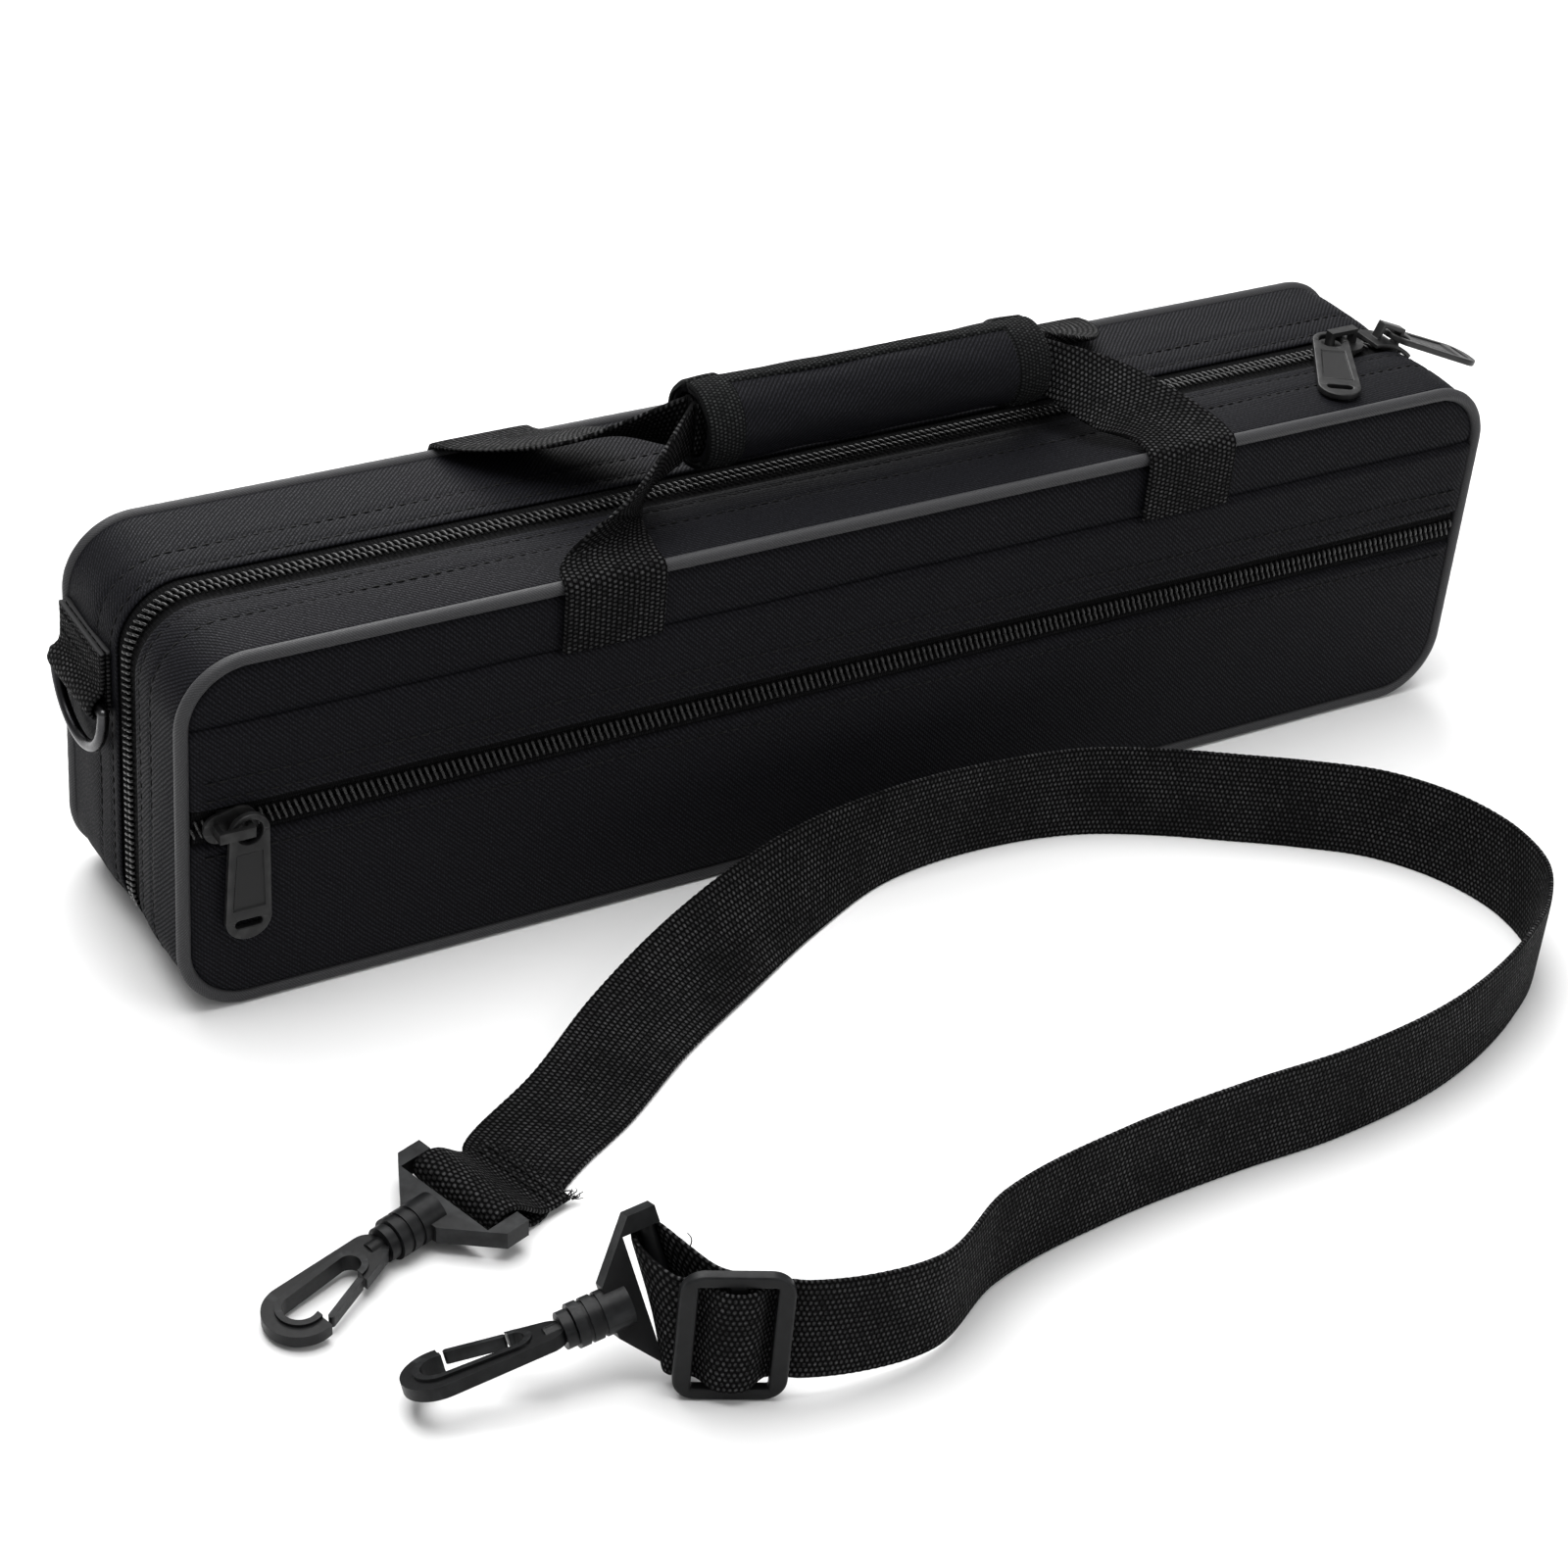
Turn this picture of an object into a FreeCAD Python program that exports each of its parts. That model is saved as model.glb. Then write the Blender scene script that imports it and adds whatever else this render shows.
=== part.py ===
"""Soft zipped flute case with a front pocket, a wrapped carrying handle, two D-rings and a
detachable shoulder strap. Millimetres; X along the case, Y from the pocket to the back, Z up.
The origin is the middle of the case's footprint on the surface that it stands on."""
import FreeCAD, Part
import Sketcher
import math
import os
import re
from FreeCAD import Placement, Rotation, Vector

# Every size that can be set by itself: name, value, meaning
SIZES = [
    ("case_length", 420, "outside length over the piping"),
    ("case_depth", 80, "outside depth over the piping"),
    ("case_height", 108, "outside height over the piping"),
    ("corner_radius", 20, "radius of the outline's corners"),
    ("split_offset", 3, "zip plane in front of the middle"),
    ("pipe_diameter", 3.8, "piping cord in its cover"),
    ("band_inset", 1.0, "gusset cloth inside the piping's outside"),
    ("face_inset", 0.5, "face cloth inside the piping's outside"),
    ("cloth", 1.2, "woven cover with its backing"),
    ("inner_cloth", 1.0, "pocket's rear wall"),
    ("board", 2.5, "stiff foam board behind the cloth"),
    ("sew_gap", 0.05, "seam allowance left between sewn edges"),
    ("slot_half", 7, "gusset fold to zip plane"),
    ("tape_tuck", 8, "zip tape sewn under the fold"),
    ("tape_thick", 0.6, "zip tape"),
    ("coil_half", 3.0, "closed coil, half its width"),
    ("coil_slit", 0.8, "half the gap between the coils' cores"),
    ("zip_end", 12, "height at which the zip stops"),
    ("run_gap", 0.3, "running clearance"),
    ("seam_height", 88, "seam between the pocket's top and middle band"),
    ("pocket_zip_height", 58.5, "middle of the pocket's zip"),
    ("pocket_slot_half", 5, "pocket zip fold to the zip's middle"),
    ("pocket_gap", 2.4, "room in the flat pocket"),
    ("liner_face", 6, "padding on the lid's inside"),
    ("liner_wall", 3, "padding round the lid's inside"),
    ("liner_step", 0.5, "padding's edge short of the zip plane"),
    ("channel_depth", 27, "instrument channels in the bed"),
    ("body_channel_length", 352, "middle joint's channel"),
    ("body_channel_width", 32, "middle joint's channel"),
    ("body_channel_height", 76, "middle joint's channel, its middle"),
    ("head_channel_length", 226, "head joint's channel"),
    ("head_channel_width", 27, "head joint's channel"),
    ("foot_channel_length", 136, "foot joint's channel"),
    ("foot_channel_width", 31, "foot joint's channel"),
    ("lower_channel_height", 30, "head and foot channels, their middle"),
    ("channel_web", 12, "foam between the head and foot channels"),
    ("rod_channel_width", 8, "cleaning rod's groove"),
    ("rod_channel_depth", 11, "cleaning rod's groove"),
    ("web_width", 30, "webbing"),
    ("web_thick", 1.6, "webbing"),
    ("anchor_left", -88, "left handle anchors, their middle"),
    ("anchor_right", 98, "right handle anchors, their middle"),
    ("back_anchor_drop", 20, "rear anchors below the top band's seam"),
    ("fold_width", 16, "webbing folded inside the grip"),
    ("grip_length", 110, "padded grip"),
    ("grip_radius", 12, "padded grip"),
    ("grip_wall", 3, "padded grip"),
    ("grip_x", 7, "grip's middle"),
    ("grip_y", -5, "grip's middle"),
    ("grip_z", 126.5, "grip's middle"),
    ("flap_low", 225, "angle of the grip's fold, degrees"),
    ("flap_high", 75, "angle of the grip's free edge, degrees"),
    ("flap_gap", 1.5, "gap at the grip's edges, degrees"),
    ("binding_gap", 5, "gap where the binding stops, degrees"),
    ("binding_width", 11, "woven binding"),
    ("binding_thick", 0.6, "woven binding"),
    ("ring_wire", 3.2, "D-ring wire"),
    ("ring_inside", 31.4, "D-ring's inside width"),
    ("ring_height", 70, "D-ring bar above the floor"),
    ("ring_y", 21, "D-ring's middle"),
    ("tab_length", 17, "D-ring tab above the bar"),
    ("slider_length", 15, "zip slider"),
    ("slider_width", 11, "zip slider"),
    ("slider_tail", 4.3, "zip slider's narrow end, half width"),
    ("slider_plate", 1.2, "zip slider's plates"),
    ("slider_rail", 0.9, "zip slider's rails"),
    ("slider_post", 1.0, "wedge between the coils"),
    ("crown_inside", 7.0, "slider's bridge"),
    ("crown_bar", 1.4, "slider's bridge"),
    ("crown_width", 3.0, "slider's bridge"),
    ("crown_rise", 3.3, "room under the slider's bridge"),
    ("pull_length", 34, "pull, ring's middle to its end"),
    ("pull_thick", 1.8, "pull"),
    ("pull_ring", 5.5, "pull's ring, outside radius"),
    ("pull_eye", 3.6, "pull's ring, inside radius"),
    ("pull_end", 6.4, "pull, half width at its end"),
    ("pull_recess", 0.35, "shallow panel on both sides of the pull"),
    ("pull_slot", 5.2, "slot near the pull's end, its height"),
    ("main_slider_inset", 30, "first slider on the top, from the case's end"),
    ("corner_slider_angle", 23, "second slider past the corner's top, degrees"),
    ("pocket_slider_inset", 14, "pocket slider, from the case's other end"),
    ("main_pull_turn", 238, "first pull's direction, degrees from +X"),
    ("hook_bar", 4.0, "round bar that the strap folds round"),
    ("hook_slot", 4.6, "slot between the bar and the plate"),
    ("hook_plate", 5.0, "moulded base"),
    ("hook_span", 40, "base across its wings"),
    ("hook_wing", 4.2, "base's wings"),
    ("barrel_length", 14, "swivel barrel"),
    ("barrel_radius", 5.5, "swivel barrel"),
    ("barrel_groove", 0.5, "rings round the barrel"),
    ("pin_radius", 2.3, "swivel pin"),
    ("pin_head", 3.3, "swivel pin's head"),
    ("collar_radius", 4.6, "hook's collar"),
    ("collar_length", 2.6, "hook's collar"),
    ("hook_length", 41, "hook past its barrel"),
    ("hook_end", 9.3, "hook's round end"),
    ("hook_neck", 5.0, "hook's neck"),
    ("hook_rim", 3.3, "flat rim round the hook's end"),
    ("hook_eye", 4.3, "hook's eye at its end"),
    ("hook_blade", 3.2, "hook's flat rim, its thickness"),
    ("hook_lip", 4.8, "hook's raised lip, its thickness"),
    ("hook_lean", 4.5, "hook's end to the gate's side"),
    ("gate_thick", 1.7, "sprung leaf"),
    ("glide_length", 38, "strap adjuster across the strap"),
    ("glide_width", 27, "strap adjuster along the strap"),
    ("glide_thick", 3.0, "strap adjuster"),
    ("glide_bar", 4.4, "strap adjuster's bars"),
    ("pull_tilt", 1.5, "a pull's lean towards the cloth, degrees"),
    ("fold_gap", 0.2, "half the gap between the grip's two folded webs"),
    ("plate_length", 8.4, "hook base's plate past the strap's slot"),
    ("barrel_inset", 3.4, "hook's barrel starts past the strap's slot"),
    ("barrel_seat", 10, "swivel pin's bearing in the barrel"),
    ("head_length", 1.4, "swivel pin's head"),
    ("glide_corner", 6, "strap adjuster's round corners"),
    ("glide_end", 3.4, "strap adjuster's ends"),
    ("bend_room", 1.09, "room for a fold of webbing round a bar, as a ratio"),
    ("overrun", 1.0, "how far cutting shapes run past"),
]

doc = FreeCAD.newDocument("FluteCase")
sheet = doc.addObject("Spreadsheet::Sheet", "sizes")
for line, (name, number, meaning) in enumerate(SIZES, 1):
    sheet.set("A%d" % line, meaning)
    sheet.set("B%d" % line, str(number))
    sheet.setAlias("B%d" % line, name)
doc.recompute()

WORDS = re.compile(r"\b(%s)\b" % "|".join(name for name, number, meaning in SIZES))
KEPT = []

# Distances from the middle plane of the case, outwards: the layers of the front and of the back
FACE = "(case_depth / 2 - face_inset)"
FACE_INSIDE = "(case_depth / 2 - face_inset - cloth)"
POCKET_INSIDE = "(case_depth / 2 - face_inset - cloth - pocket_gap)"
WALL_INSIDE = "(case_depth / 2 - face_inset - cloth - pocket_gap - inner_cloth)"
LID_BOARD = "(case_depth / 2 - face_inset - cloth - pocket_gap - inner_cloth - board)"
LINER_INSIDE = "(case_depth / 2 - face_inset - cloth - pocket_gap - inner_cloth - board - liner_face)"
BACK_BOARD = "(case_depth / 2 - face_inset - cloth - board)"
GUSSET_EDGE = "(case_depth / 2 - pipe_diameter - sew_gap)"
FRONT_FOLD = "(split_offset + slot_half)"
BACK_FOLD = "(slot_half - split_offset)"

# Insets from the outline of the case, inwards: the layers of its edge
FACE_EDGE = "(pipe_diameter + sew_gap)"
BAND_INSIDE = "(band_inset + cloth)"
TAPE_INSIDE = "(band_inset + cloth + tape_thick)"
BOARD_INSIDE = "(band_inset + cloth + board)"
LINER_EDGE = "(band_inset + cloth + board + liner_wall)"

FRONT = -1
BACK = 1


def bound(text):
    """An expression with the sheet's name before each of its sizes."""
    return WORDS.sub(r"sizes.\1", str(text))


def value(text):
    """The number that an expression in named sizes stands for now."""
    return float(sheet.evalExpression(bound(text)))


def point(x, y, z):
    """A point given by three expressions."""
    return Vector(value(x), value(y), value(z))


def keep(item):
    """Lists a finished sub-part, whose name is its node's name."""
    KEPT.append(item)
    return item


def body_plane(body, role):
    return next(item for item in body.Origin.OriginFeatures if item.Role == role)


def new_sketch(body, name, role, offset):
    """A sketch on one of the body's own planes, moved along its normal by an expression."""
    sketch = body.newObject("Sketcher::SketchObject", name)
    sketch.AttachmentSupport = (body_plane(body, role), [""])
    sketch.MapMode = "FlatFace"
    sketch.setExpression("AttachmentOffset.Base.z", bound(offset))
    return sketch


def fix(sketch, kind, tag, text, *where):
    """A dimension that is bound to an expression."""
    sketch.addConstraint(Sketcher.Constraint(kind, *where, value(text)))
    sketch.renameConstraint(sketch.ConstraintCount - 1, tag)
    sketch.setExpression("Constraints." + tag, bound(text))


def join(sketch, kind, first, count):
    """Joins each of the sketch's curves to the next one, all the way round."""
    for step in range(count):
        following = first + (step + 1) % count
        sketch.addConstraint(Sketcher.Constraint(kind, first + step, 2, following, 1))


def add_outline(sketch, inset, tag):
    """The case's outline, moved inwards: a rectangle with round corners that stands on the floor."""
    side = value("case_length / 2 - %s" % inset)
    low = value(inset)
    high = value("case_height - %s" % inset)
    radius = value("corner_radius - %s" % inset)
    first = sketch.GeometryCount
    middles = [
        (side - radius, low + radius), (side - radius, high - radius),
        (radius - side, high - radius), (radius - side, low + radius),
    ]
    starts = [
        (radius - side, low), (side, low + radius), (side - radius, high), (-side, high - radius),
    ]
    ends = [
        (side - radius, low), (side, high - radius), (radius - side, high), (-side, low + radius),
    ]
    for turn in range(4):
        sketch.addGeometry(Part.LineSegment(Vector(*starts[turn], 0), Vector(*ends[turn], 0)))
        circle = Part.Circle(Vector(*middles[turn], 0), Vector(0, 0, 1), radius)
        begin = (turn - 1) * math.pi / 2
        sketch.addGeometry(Part.ArcOfCircle(circle, begin, begin + math.pi / 2))
    join(sketch, "Tangent", first, 8)
    for line in (0, 4):
        sketch.addConstraint(Sketcher.Constraint("Horizontal", first + line))
        sketch.addConstraint(Sketcher.Constraint("Vertical", first + line + 2))
    for arc in (3, 5, 7):
        sketch.addConstraint(Sketcher.Constraint("Equal", first + 1, first + arc))
    fix(sketch, "Radius", tag + "_radius", "corner_radius - %s" % inset, first + 1)
    fix(sketch, "DistanceX", tag + "_right", "case_length / 2 - %s" % inset, -1, 1, first + 2, 1)
    fix(sketch, "DistanceX", tag + "_left", "%s - case_length / 2" % inset, -1, 1, first + 6, 1)
    fix(sketch, "DistanceY", tag + "_low", inset, -1, 1, first, 1)
    fix(sketch, "DistanceY", tag + "_high", "case_height - %s" % inset, -1, 1, first + 4, 1)


def add_link(sketch, tag, start, start_radius, end, end_radius):
    """Two round ends joined by their outer tangents. start and end are pairs of expressions."""
    x1, y1 = value(start[0]), value(start[1])
    x2, y2 = value(end[0]), value(end[1])
    r1, r2 = value(start_radius), value(end_radius)
    heading = math.atan2(y2 - y1, x2 - x1)
    spread = math.acos((r1 - r2) / math.hypot(x2 - x1, y2 - y1))
    full_turn = 2 * math.pi
    first = sketch.GeometryCount
    end_circle = Part.Circle(Vector(x2, y2, 0), Vector(0, 0, 1), r2)
    start_circle = Part.Circle(Vector(x1, y1, 0), Vector(0, 0, 1), r1)
    end_arc = Part.ArcOfCircle(end_circle, heading - spread, heading + spread)
    start_arc = Part.ArcOfCircle(start_circle, heading + spread, heading - spread + full_turn)
    sketch.addGeometry(end_arc)
    sketch.addGeometry(Part.LineSegment(end_arc.EndPoint, start_arc.StartPoint))
    sketch.addGeometry(start_arc)
    sketch.addGeometry(Part.LineSegment(start_arc.EndPoint, end_arc.StartPoint))
    join(sketch, "Tangent", first, 4)
    for place, radius, arc, word in (
            (end, end_radius, first, "_end"), (start, start_radius, first + 2, "_start")):
        fix(sketch, "Radius", tag + word + "_radius", radius, arc)
        fix(sketch, "DistanceX", tag + word + "_x", place[0], -1, 1, arc, 3)
        fix(sketch, "DistanceY", tag + word + "_y", place[1], -1, 1, arc, 3)


def add_polygon(sketch, tag, corners):
    """A closed outline of straight edges, through pairs of expressions."""
    first = sketch.GeometryCount
    places = [Vector(value(x), value(y), 0) for x, y in corners]
    for index, place in enumerate(places):
        sketch.addGeometry(Part.LineSegment(place, places[(index + 1) % len(places)]))
    join(sketch, "Coincident", first, len(corners))
    for index, (x, y) in enumerate(corners):
        fix(sketch, "DistanceX", "%s_x%d" % (tag, index), x, -1, 1, first + index, 1)
        fix(sketch, "DistanceY", "%s_y%d" % (tag, index), y, -1, 1, first + index, 1)


def add_pad(body, sketch, length):
    pad = body.newObject("PartDesign::Pad", body.Name + "_pad")
    pad.Profile = sketch
    pad.setExpression("Length", bound(length))
    return pad


def plate(name, draw, low, high, role="XY_Plane"):
    """A body with one drawn outline, between two heights along its plane's normal."""
    body = doc.addObject("PartDesign::Body", name)
    sketch = new_sketch(body, name + "_sketch", role, low)
    draw(sketch)
    add_pad(body, sketch, "%s - (%s)" % (high, low))
    return body


def layer(name, insets, outer, inner, side):
    """A sheet or ring that follows the case's outline, between two distances from the middle."""
    def draw(sketch):
        for index, inset in enumerate(insets):
            add_outline(sketch, inset, "edge%d" % index)
    low = inner if side == FRONT else "-(%s)" % outer
    high = outer if side == FRONT else "-(%s)" % inner
    return plate(name, draw, "(%s)" % low, "(%s)" % high, "XZ_Plane")


def box(name, lows, highs):
    """A box between two corners, each of three expressions."""
    item = doc.addObject("Part::Box", name)
    for label, axis, low, high in zip(("Length", "Width", "Height"), "xyz", lows, highs):
        item.setExpression(label, bound("(%s) - (%s)" % (high, low)))
        item.setExpression("Placement.Base." + axis, bound(low))
    return item


TURNS = {"x": Rotation(Vector(0, 1, 0), 90), "y": Rotation(Vector(1, 0, 0), -90), "z": Rotation()}


def rod(name, radius, length, start, axis):
    """A cylinder from a point along one of the axes."""
    item = doc.addObject("Part::Cylinder", name)
    item.Placement = Placement(Vector(), TURNS[axis])
    item.setExpression("Radius", bound(radius))
    item.setExpression("Height", bound(length))
    for letter, text in zip("xyz", start):
        item.setExpression("Placement.Base." + letter, bound(text))
    return item


def fuse(name, pieces):
    item = doc.addObject("Part::MultiFuse", name)
    item.Shapes = pieces
    return item


def cut(name, base, tools):
    item = doc.addObject("Part::Cut", name)
    item.Base = base
    item.Tool = tools[0] if len(tools) == 1 else fuse(name + "_tools", tools)
    return item


def common(name, base, tool):
    item = doc.addObject("Part::Common", name)
    item.Base = base
    item.Tool = tool
    return item


def feature(name, shape):
    """A sub-part whose shape no primitive fits."""
    item = doc.addObject("Part::Feature", name)
    item.Shape = shape
    return item


def trim(name, item, low, high):
    """What lies between two heights of a piece that follows the outline."""
    reach = "case_length / 2 + overrun"
    depth = "case_depth / 2 + overrun"
    window = box(
        name + "_window", ("-(%s)" % reach, "-(%s)" % depth, low), (reach, depth, high))
    return common(name, item, window)


def pocket_front():
    """The pocket's front wall in three pieces, the zip between two of them, and its rear wall."""
    slot_low = "pocket_zip_height - pocket_slot_half"
    slot_high = "pocket_zip_height + pocket_slot_half"
    pieces = (
        ("pocket_lower_panel", "-overrun", slot_low),
        ("pocket_middle_panel", slot_high, "seam_height - sew_gap"),
        ("pocket_top_panel", "seam_height", "case_height + overrun"),
    )
    for name, low, high in pieces:
        blank = layer(name + "_blank", [FACE_EDGE], FACE, FACE_INSIDE, FRONT)
        keep(trim(name, blank, low, high))
    keep(layer("pocket_rear_wall", [BAND_INSIDE], POCKET_INSIDE, WALL_INSIDE, FRONT))
    tape_reach = "pocket_slot_half + tape_tuck"
    for word, sign in (("lower", -1), ("upper", 1)):
        near = "pocket_zip_height + coil_slit * %d" % sign
        ends = [near, "pocket_zip_height + (%s) * %d" % (tape_reach, sign)][::sign]
        blank = layer("pocket_tape_blank_" + word, [FACE_EDGE],
                      FACE_INSIDE, FACE_INSIDE + " - tape_thick", FRONT)
        keep(trim("pocket_zip_tape_" + word, blank, *ends))
        ends = [near, "pocket_zip_height + coil_half * %d" % sign][::sign]
        blank = layer("pocket_coil_blank_" + word, [FACE_EDGE], FACE, FACE_INSIDE, FRONT)
        keep(trim("pocket_zip_coil_" + word, blank, *ends))


def piping(name, side):
    """The piping cord round one face: four straight runs and four quarter rings in one piece."""
    middle = "pipe_diameter / 2"
    depth = "(case_depth / 2 - %s) * %d" % (middle, side)
    side_run = "case_length / 2 - corner_radius"
    rise_run = "case_height - 2 * corner_radius"
    pieces = []
    for word, height in (("low", middle), ("high", "case_height - " + middle)):
        start = ("-(%s)" % side_run, depth, height)
        pieces.append(rod(name + "_run_" + word, middle, "2 * (%s)" % side_run, start, "x"))
    for word, sign in (("left", -1), ("right", 1)):
        start = ("(case_length / 2 - %s) * %d" % (middle, sign), depth, "corner_radius")
        pieces.append(rod(name + "_rise_" + word, middle, rise_run, start, "z"))
    for turn, (sign, height) in enumerate((
            (1, "case_height - corner_radius"), (-1, "case_height - corner_radius"),
            (-1, "corner_radius"), (1, "corner_radius"))):
        bend = doc.addObject("Part::Torus", "%s_bend%d" % (name, turn))
        quarter = Rotation(Vector(0, 0, 1), 90 * turn)
        bend.Placement = Placement(Vector(), Rotation(Vector(1, 0, 0), 90) * quarter)
        bend.Angle3 = 90
        bend.setExpression("Radius1", bound("corner_radius - " + middle))
        bend.setExpression("Radius2", bound(middle))
        bend.setExpression("Placement.Base.x", bound("(%s) * %d" % (side_run, sign)))
        bend.setExpression("Placement.Base.y", bound(depth))
        bend.setExpression("Placement.Base.z", bound(height))
        pieces.append(bend)
    keep(fuse(name, pieces))


def tray(name, insets, faces, edge, side):
    """A shallow tray: a flat face and a wall round it. edge is the wall's free edge."""
    face = layer(name + "_face", [insets[0]], faces[0], faces[1], side)
    wall = layer(name + "_wall", insets, faces[1], edge, side)
    return fuse(name, [face, wall])


def front_shell():
    """The front half of the case, which is the lid: cloth, board and padding."""
    keep(layer("front_gusset", ["band_inset", BAND_INSIDE], GUSSET_EDGE, FRONT_FOLD, FRONT))
    piping("front_piping", FRONT)
    wall_edge = "%s + tape_tuck + liner_step" % FRONT_FOLD
    keep(tray("front_board_tray", [BAND_INSIDE, BOARD_INSIDE],
              (WALL_INSIDE, LID_BOARD), wall_edge, FRONT))
    keep(tray("lid_liner", [BOARD_INSIDE, LINER_EDGE],
              (LID_BOARD, LINER_INSIDE), "split_offset + liner_step", FRONT))


def back_shell():
    """The back half of the case: cloth, board and the foam bed."""
    keep(layer("back_panel", [FACE_EDGE], FACE, FACE_INSIDE, BACK))
    keep(layer("back_gusset", ["band_inset", BAND_INSIDE], GUSSET_EDGE, BACK_FOLD, BACK))
    piping("back_piping", BACK)
    # The board's corner is cut back to the piping's inner side
    chamfer = "pipe_diameter - band_inset"
    rear = layer("back_board_rear", [FACE_EDGE], FACE_INSIDE, BACK_BOARD, BACK)
    middle = layer("back_board_middle", [BAND_INSIDE, BOARD_INSIDE],
                   FACE_INSIDE + " - " + chamfer, BACK_FOLD + " + tape_tuck + liner_step", BACK)
    step = layer("back_board_step", [FACE_EDGE, BOARD_INSIDE], BACK_BOARD,
                 FACE_INSIDE + " - " + chamfer, BACK)
    keep(fuse("back_board_tray", [rear, middle, step]))


def channel(name, left, right, middle, width, depth):
    """A trough with a half-round bottom, sunk into the bed from the zip plane."""
    top = "liner_step - split_offset"
    floor_axis = "%s + %s - %s / 2" % (top, depth, width)
    mouth = box(name + "_mouth", (left, top + " - overrun", "%s - %s / 2" % (middle, width)),
                (right, floor_axis, "%s + %s / 2" % (middle, width)))
    floor = rod(name + "_floor", width + " / 2", "(%s) - (%s)" % (right, left),
                (left, floor_axis, middle), "x")
    return [mouth, floor]


def foam_bed():
    """The padded bed with a channel for each of the flute's joints and one for the rod."""
    blank = layer("bed_blank", [BOARD_INSIDE], BACK_BOARD, "liner_step - split_offset", BACK)
    lower_length = "(head_channel_length + foot_channel_length + channel_web)"
    body_left = "-body_channel_length / 2"
    lower_top = "(lower_channel_height + foot_channel_width / 2)"
    rod_height = "((body_channel_height - body_channel_width / 2 + %s) / 2)" % lower_top
    tools = channel("body_channel", body_left, "body_channel_length / 2",
                    "body_channel_height", "body_channel_width", "channel_depth")
    tools += channel("head_channel", "-%s / 2" % lower_length,
                     "-%s / 2 + head_channel_length" % lower_length,
                     "lower_channel_height", "head_channel_width", "channel_depth")
    tools += channel("foot_channel", "%s / 2 - foot_channel_length" % lower_length,
                     "%s / 2" % lower_length,
                     "lower_channel_height", "foot_channel_width", "channel_depth")
    tools += channel("rod_channel", body_left, "body_channel_length / 2",
                     rod_height, "rod_channel_width", "rod_channel_depth")
    keep(cut("bed_foam", blank, tools))


def main_zip():
    """Both halves of the zip round the case: tape, coil, and the sewn hinge along the bottom."""
    for word, side, sign in (("front", FRONT, 1), ("back", BACK, -1)):
        middle = "split_offset * %d" % sign
        fold = FRONT_FOLD if side == FRONT else BACK_FOLD
        tape = layer(word + "_tape_blank", [BAND_INSIDE, TAPE_INSIDE],
                     fold + " + tape_tuck", middle + " + coil_slit", side)
        keep(trim(word + "_zip_tape", tape, "zip_end", "case_height + overrun"))
        coil = layer(word + "_coil_blank", ["band_inset", BAND_INSIDE],
                     middle + " + coil_half", middle + " + coil_slit", side)
        keep(trim(word + "_zip_coil", coil, "zip_end", "case_height + overrun"))
    strip = layer("hinge_strip_blank", ["band_inset", BAND_INSIDE],
                  FRONT_FOLD + " - run_gap", "run_gap - " + BACK_FOLD, FRONT)
    keep(trim("hinge_strip", strip, "-overrun", "zip_end - run_gap"))


def straight_slider(name, place):
    """A zip slider: two plates with side rails, the wedge between them and the bridge for its
    pull. Its own X runs along the zip and its Z outwards, with zero on top of the coil."""
    top = "run_gap"
    cover = "run_gap + slider_plate"
    roof = "%s + crown_rise" % cover
    under = "-(cloth + tape_thick + run_gap)"
    half = "slider_length / 2"
    leg_inside = "crown_inside / 2"
    leg_outside = "crown_inside / 2 + crown_bar"

    def draw_plate(sketch):
        add_link(sketch, "plate", ("slider_tail - %s" % half, "0"), "slider_tail",
                 ("%s - slider_width / 2" % half, "0"), "slider_width / 2")

    pieces = [
        plate(name + "_cover", draw_plate, top, cover),
        plate(name + "_sole", draw_plate, under + " - slider_plate", under),
        box(name + "_wedge", ("%s - slider_width / 2" % half, "-slider_post / 2", under),
            (half + " - overrun", "slider_post / 2", top)),
    ]
    for sign in (1, -1):
        near = "(coil_half + run_gap) * %d" % sign
        far = "(coil_half + run_gap + slider_rail) * %d" % sign
        edges = [near, far][::sign]
        word = "right" if sign == 1 else "left"
        pieces.append(box("%s_rail_%s" % (name, word),
                          ("-%s + slider_tail" % half, edges[0], "-slider_rail"),
                          ("%s - slider_tail" % half, edges[1], top)))
    arch = box(name + "_arch", ("-(%s)" % leg_outside, "-crown_width / 2", cover),
               (leg_outside, "crown_width / 2", "%s + crown_bar" % roof))
    span = box(name + "_span", ("-(%s)" % leg_inside, "-crown_width / 2 - overrun", cover),
               (leg_inside, "crown_width / 2 + overrun", roof))
    pieces.append(cut(name + "_bridge", arch, [span]))
    slider = keep(fuse(name, pieces))
    slider.Placement = place
    return slider


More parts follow.
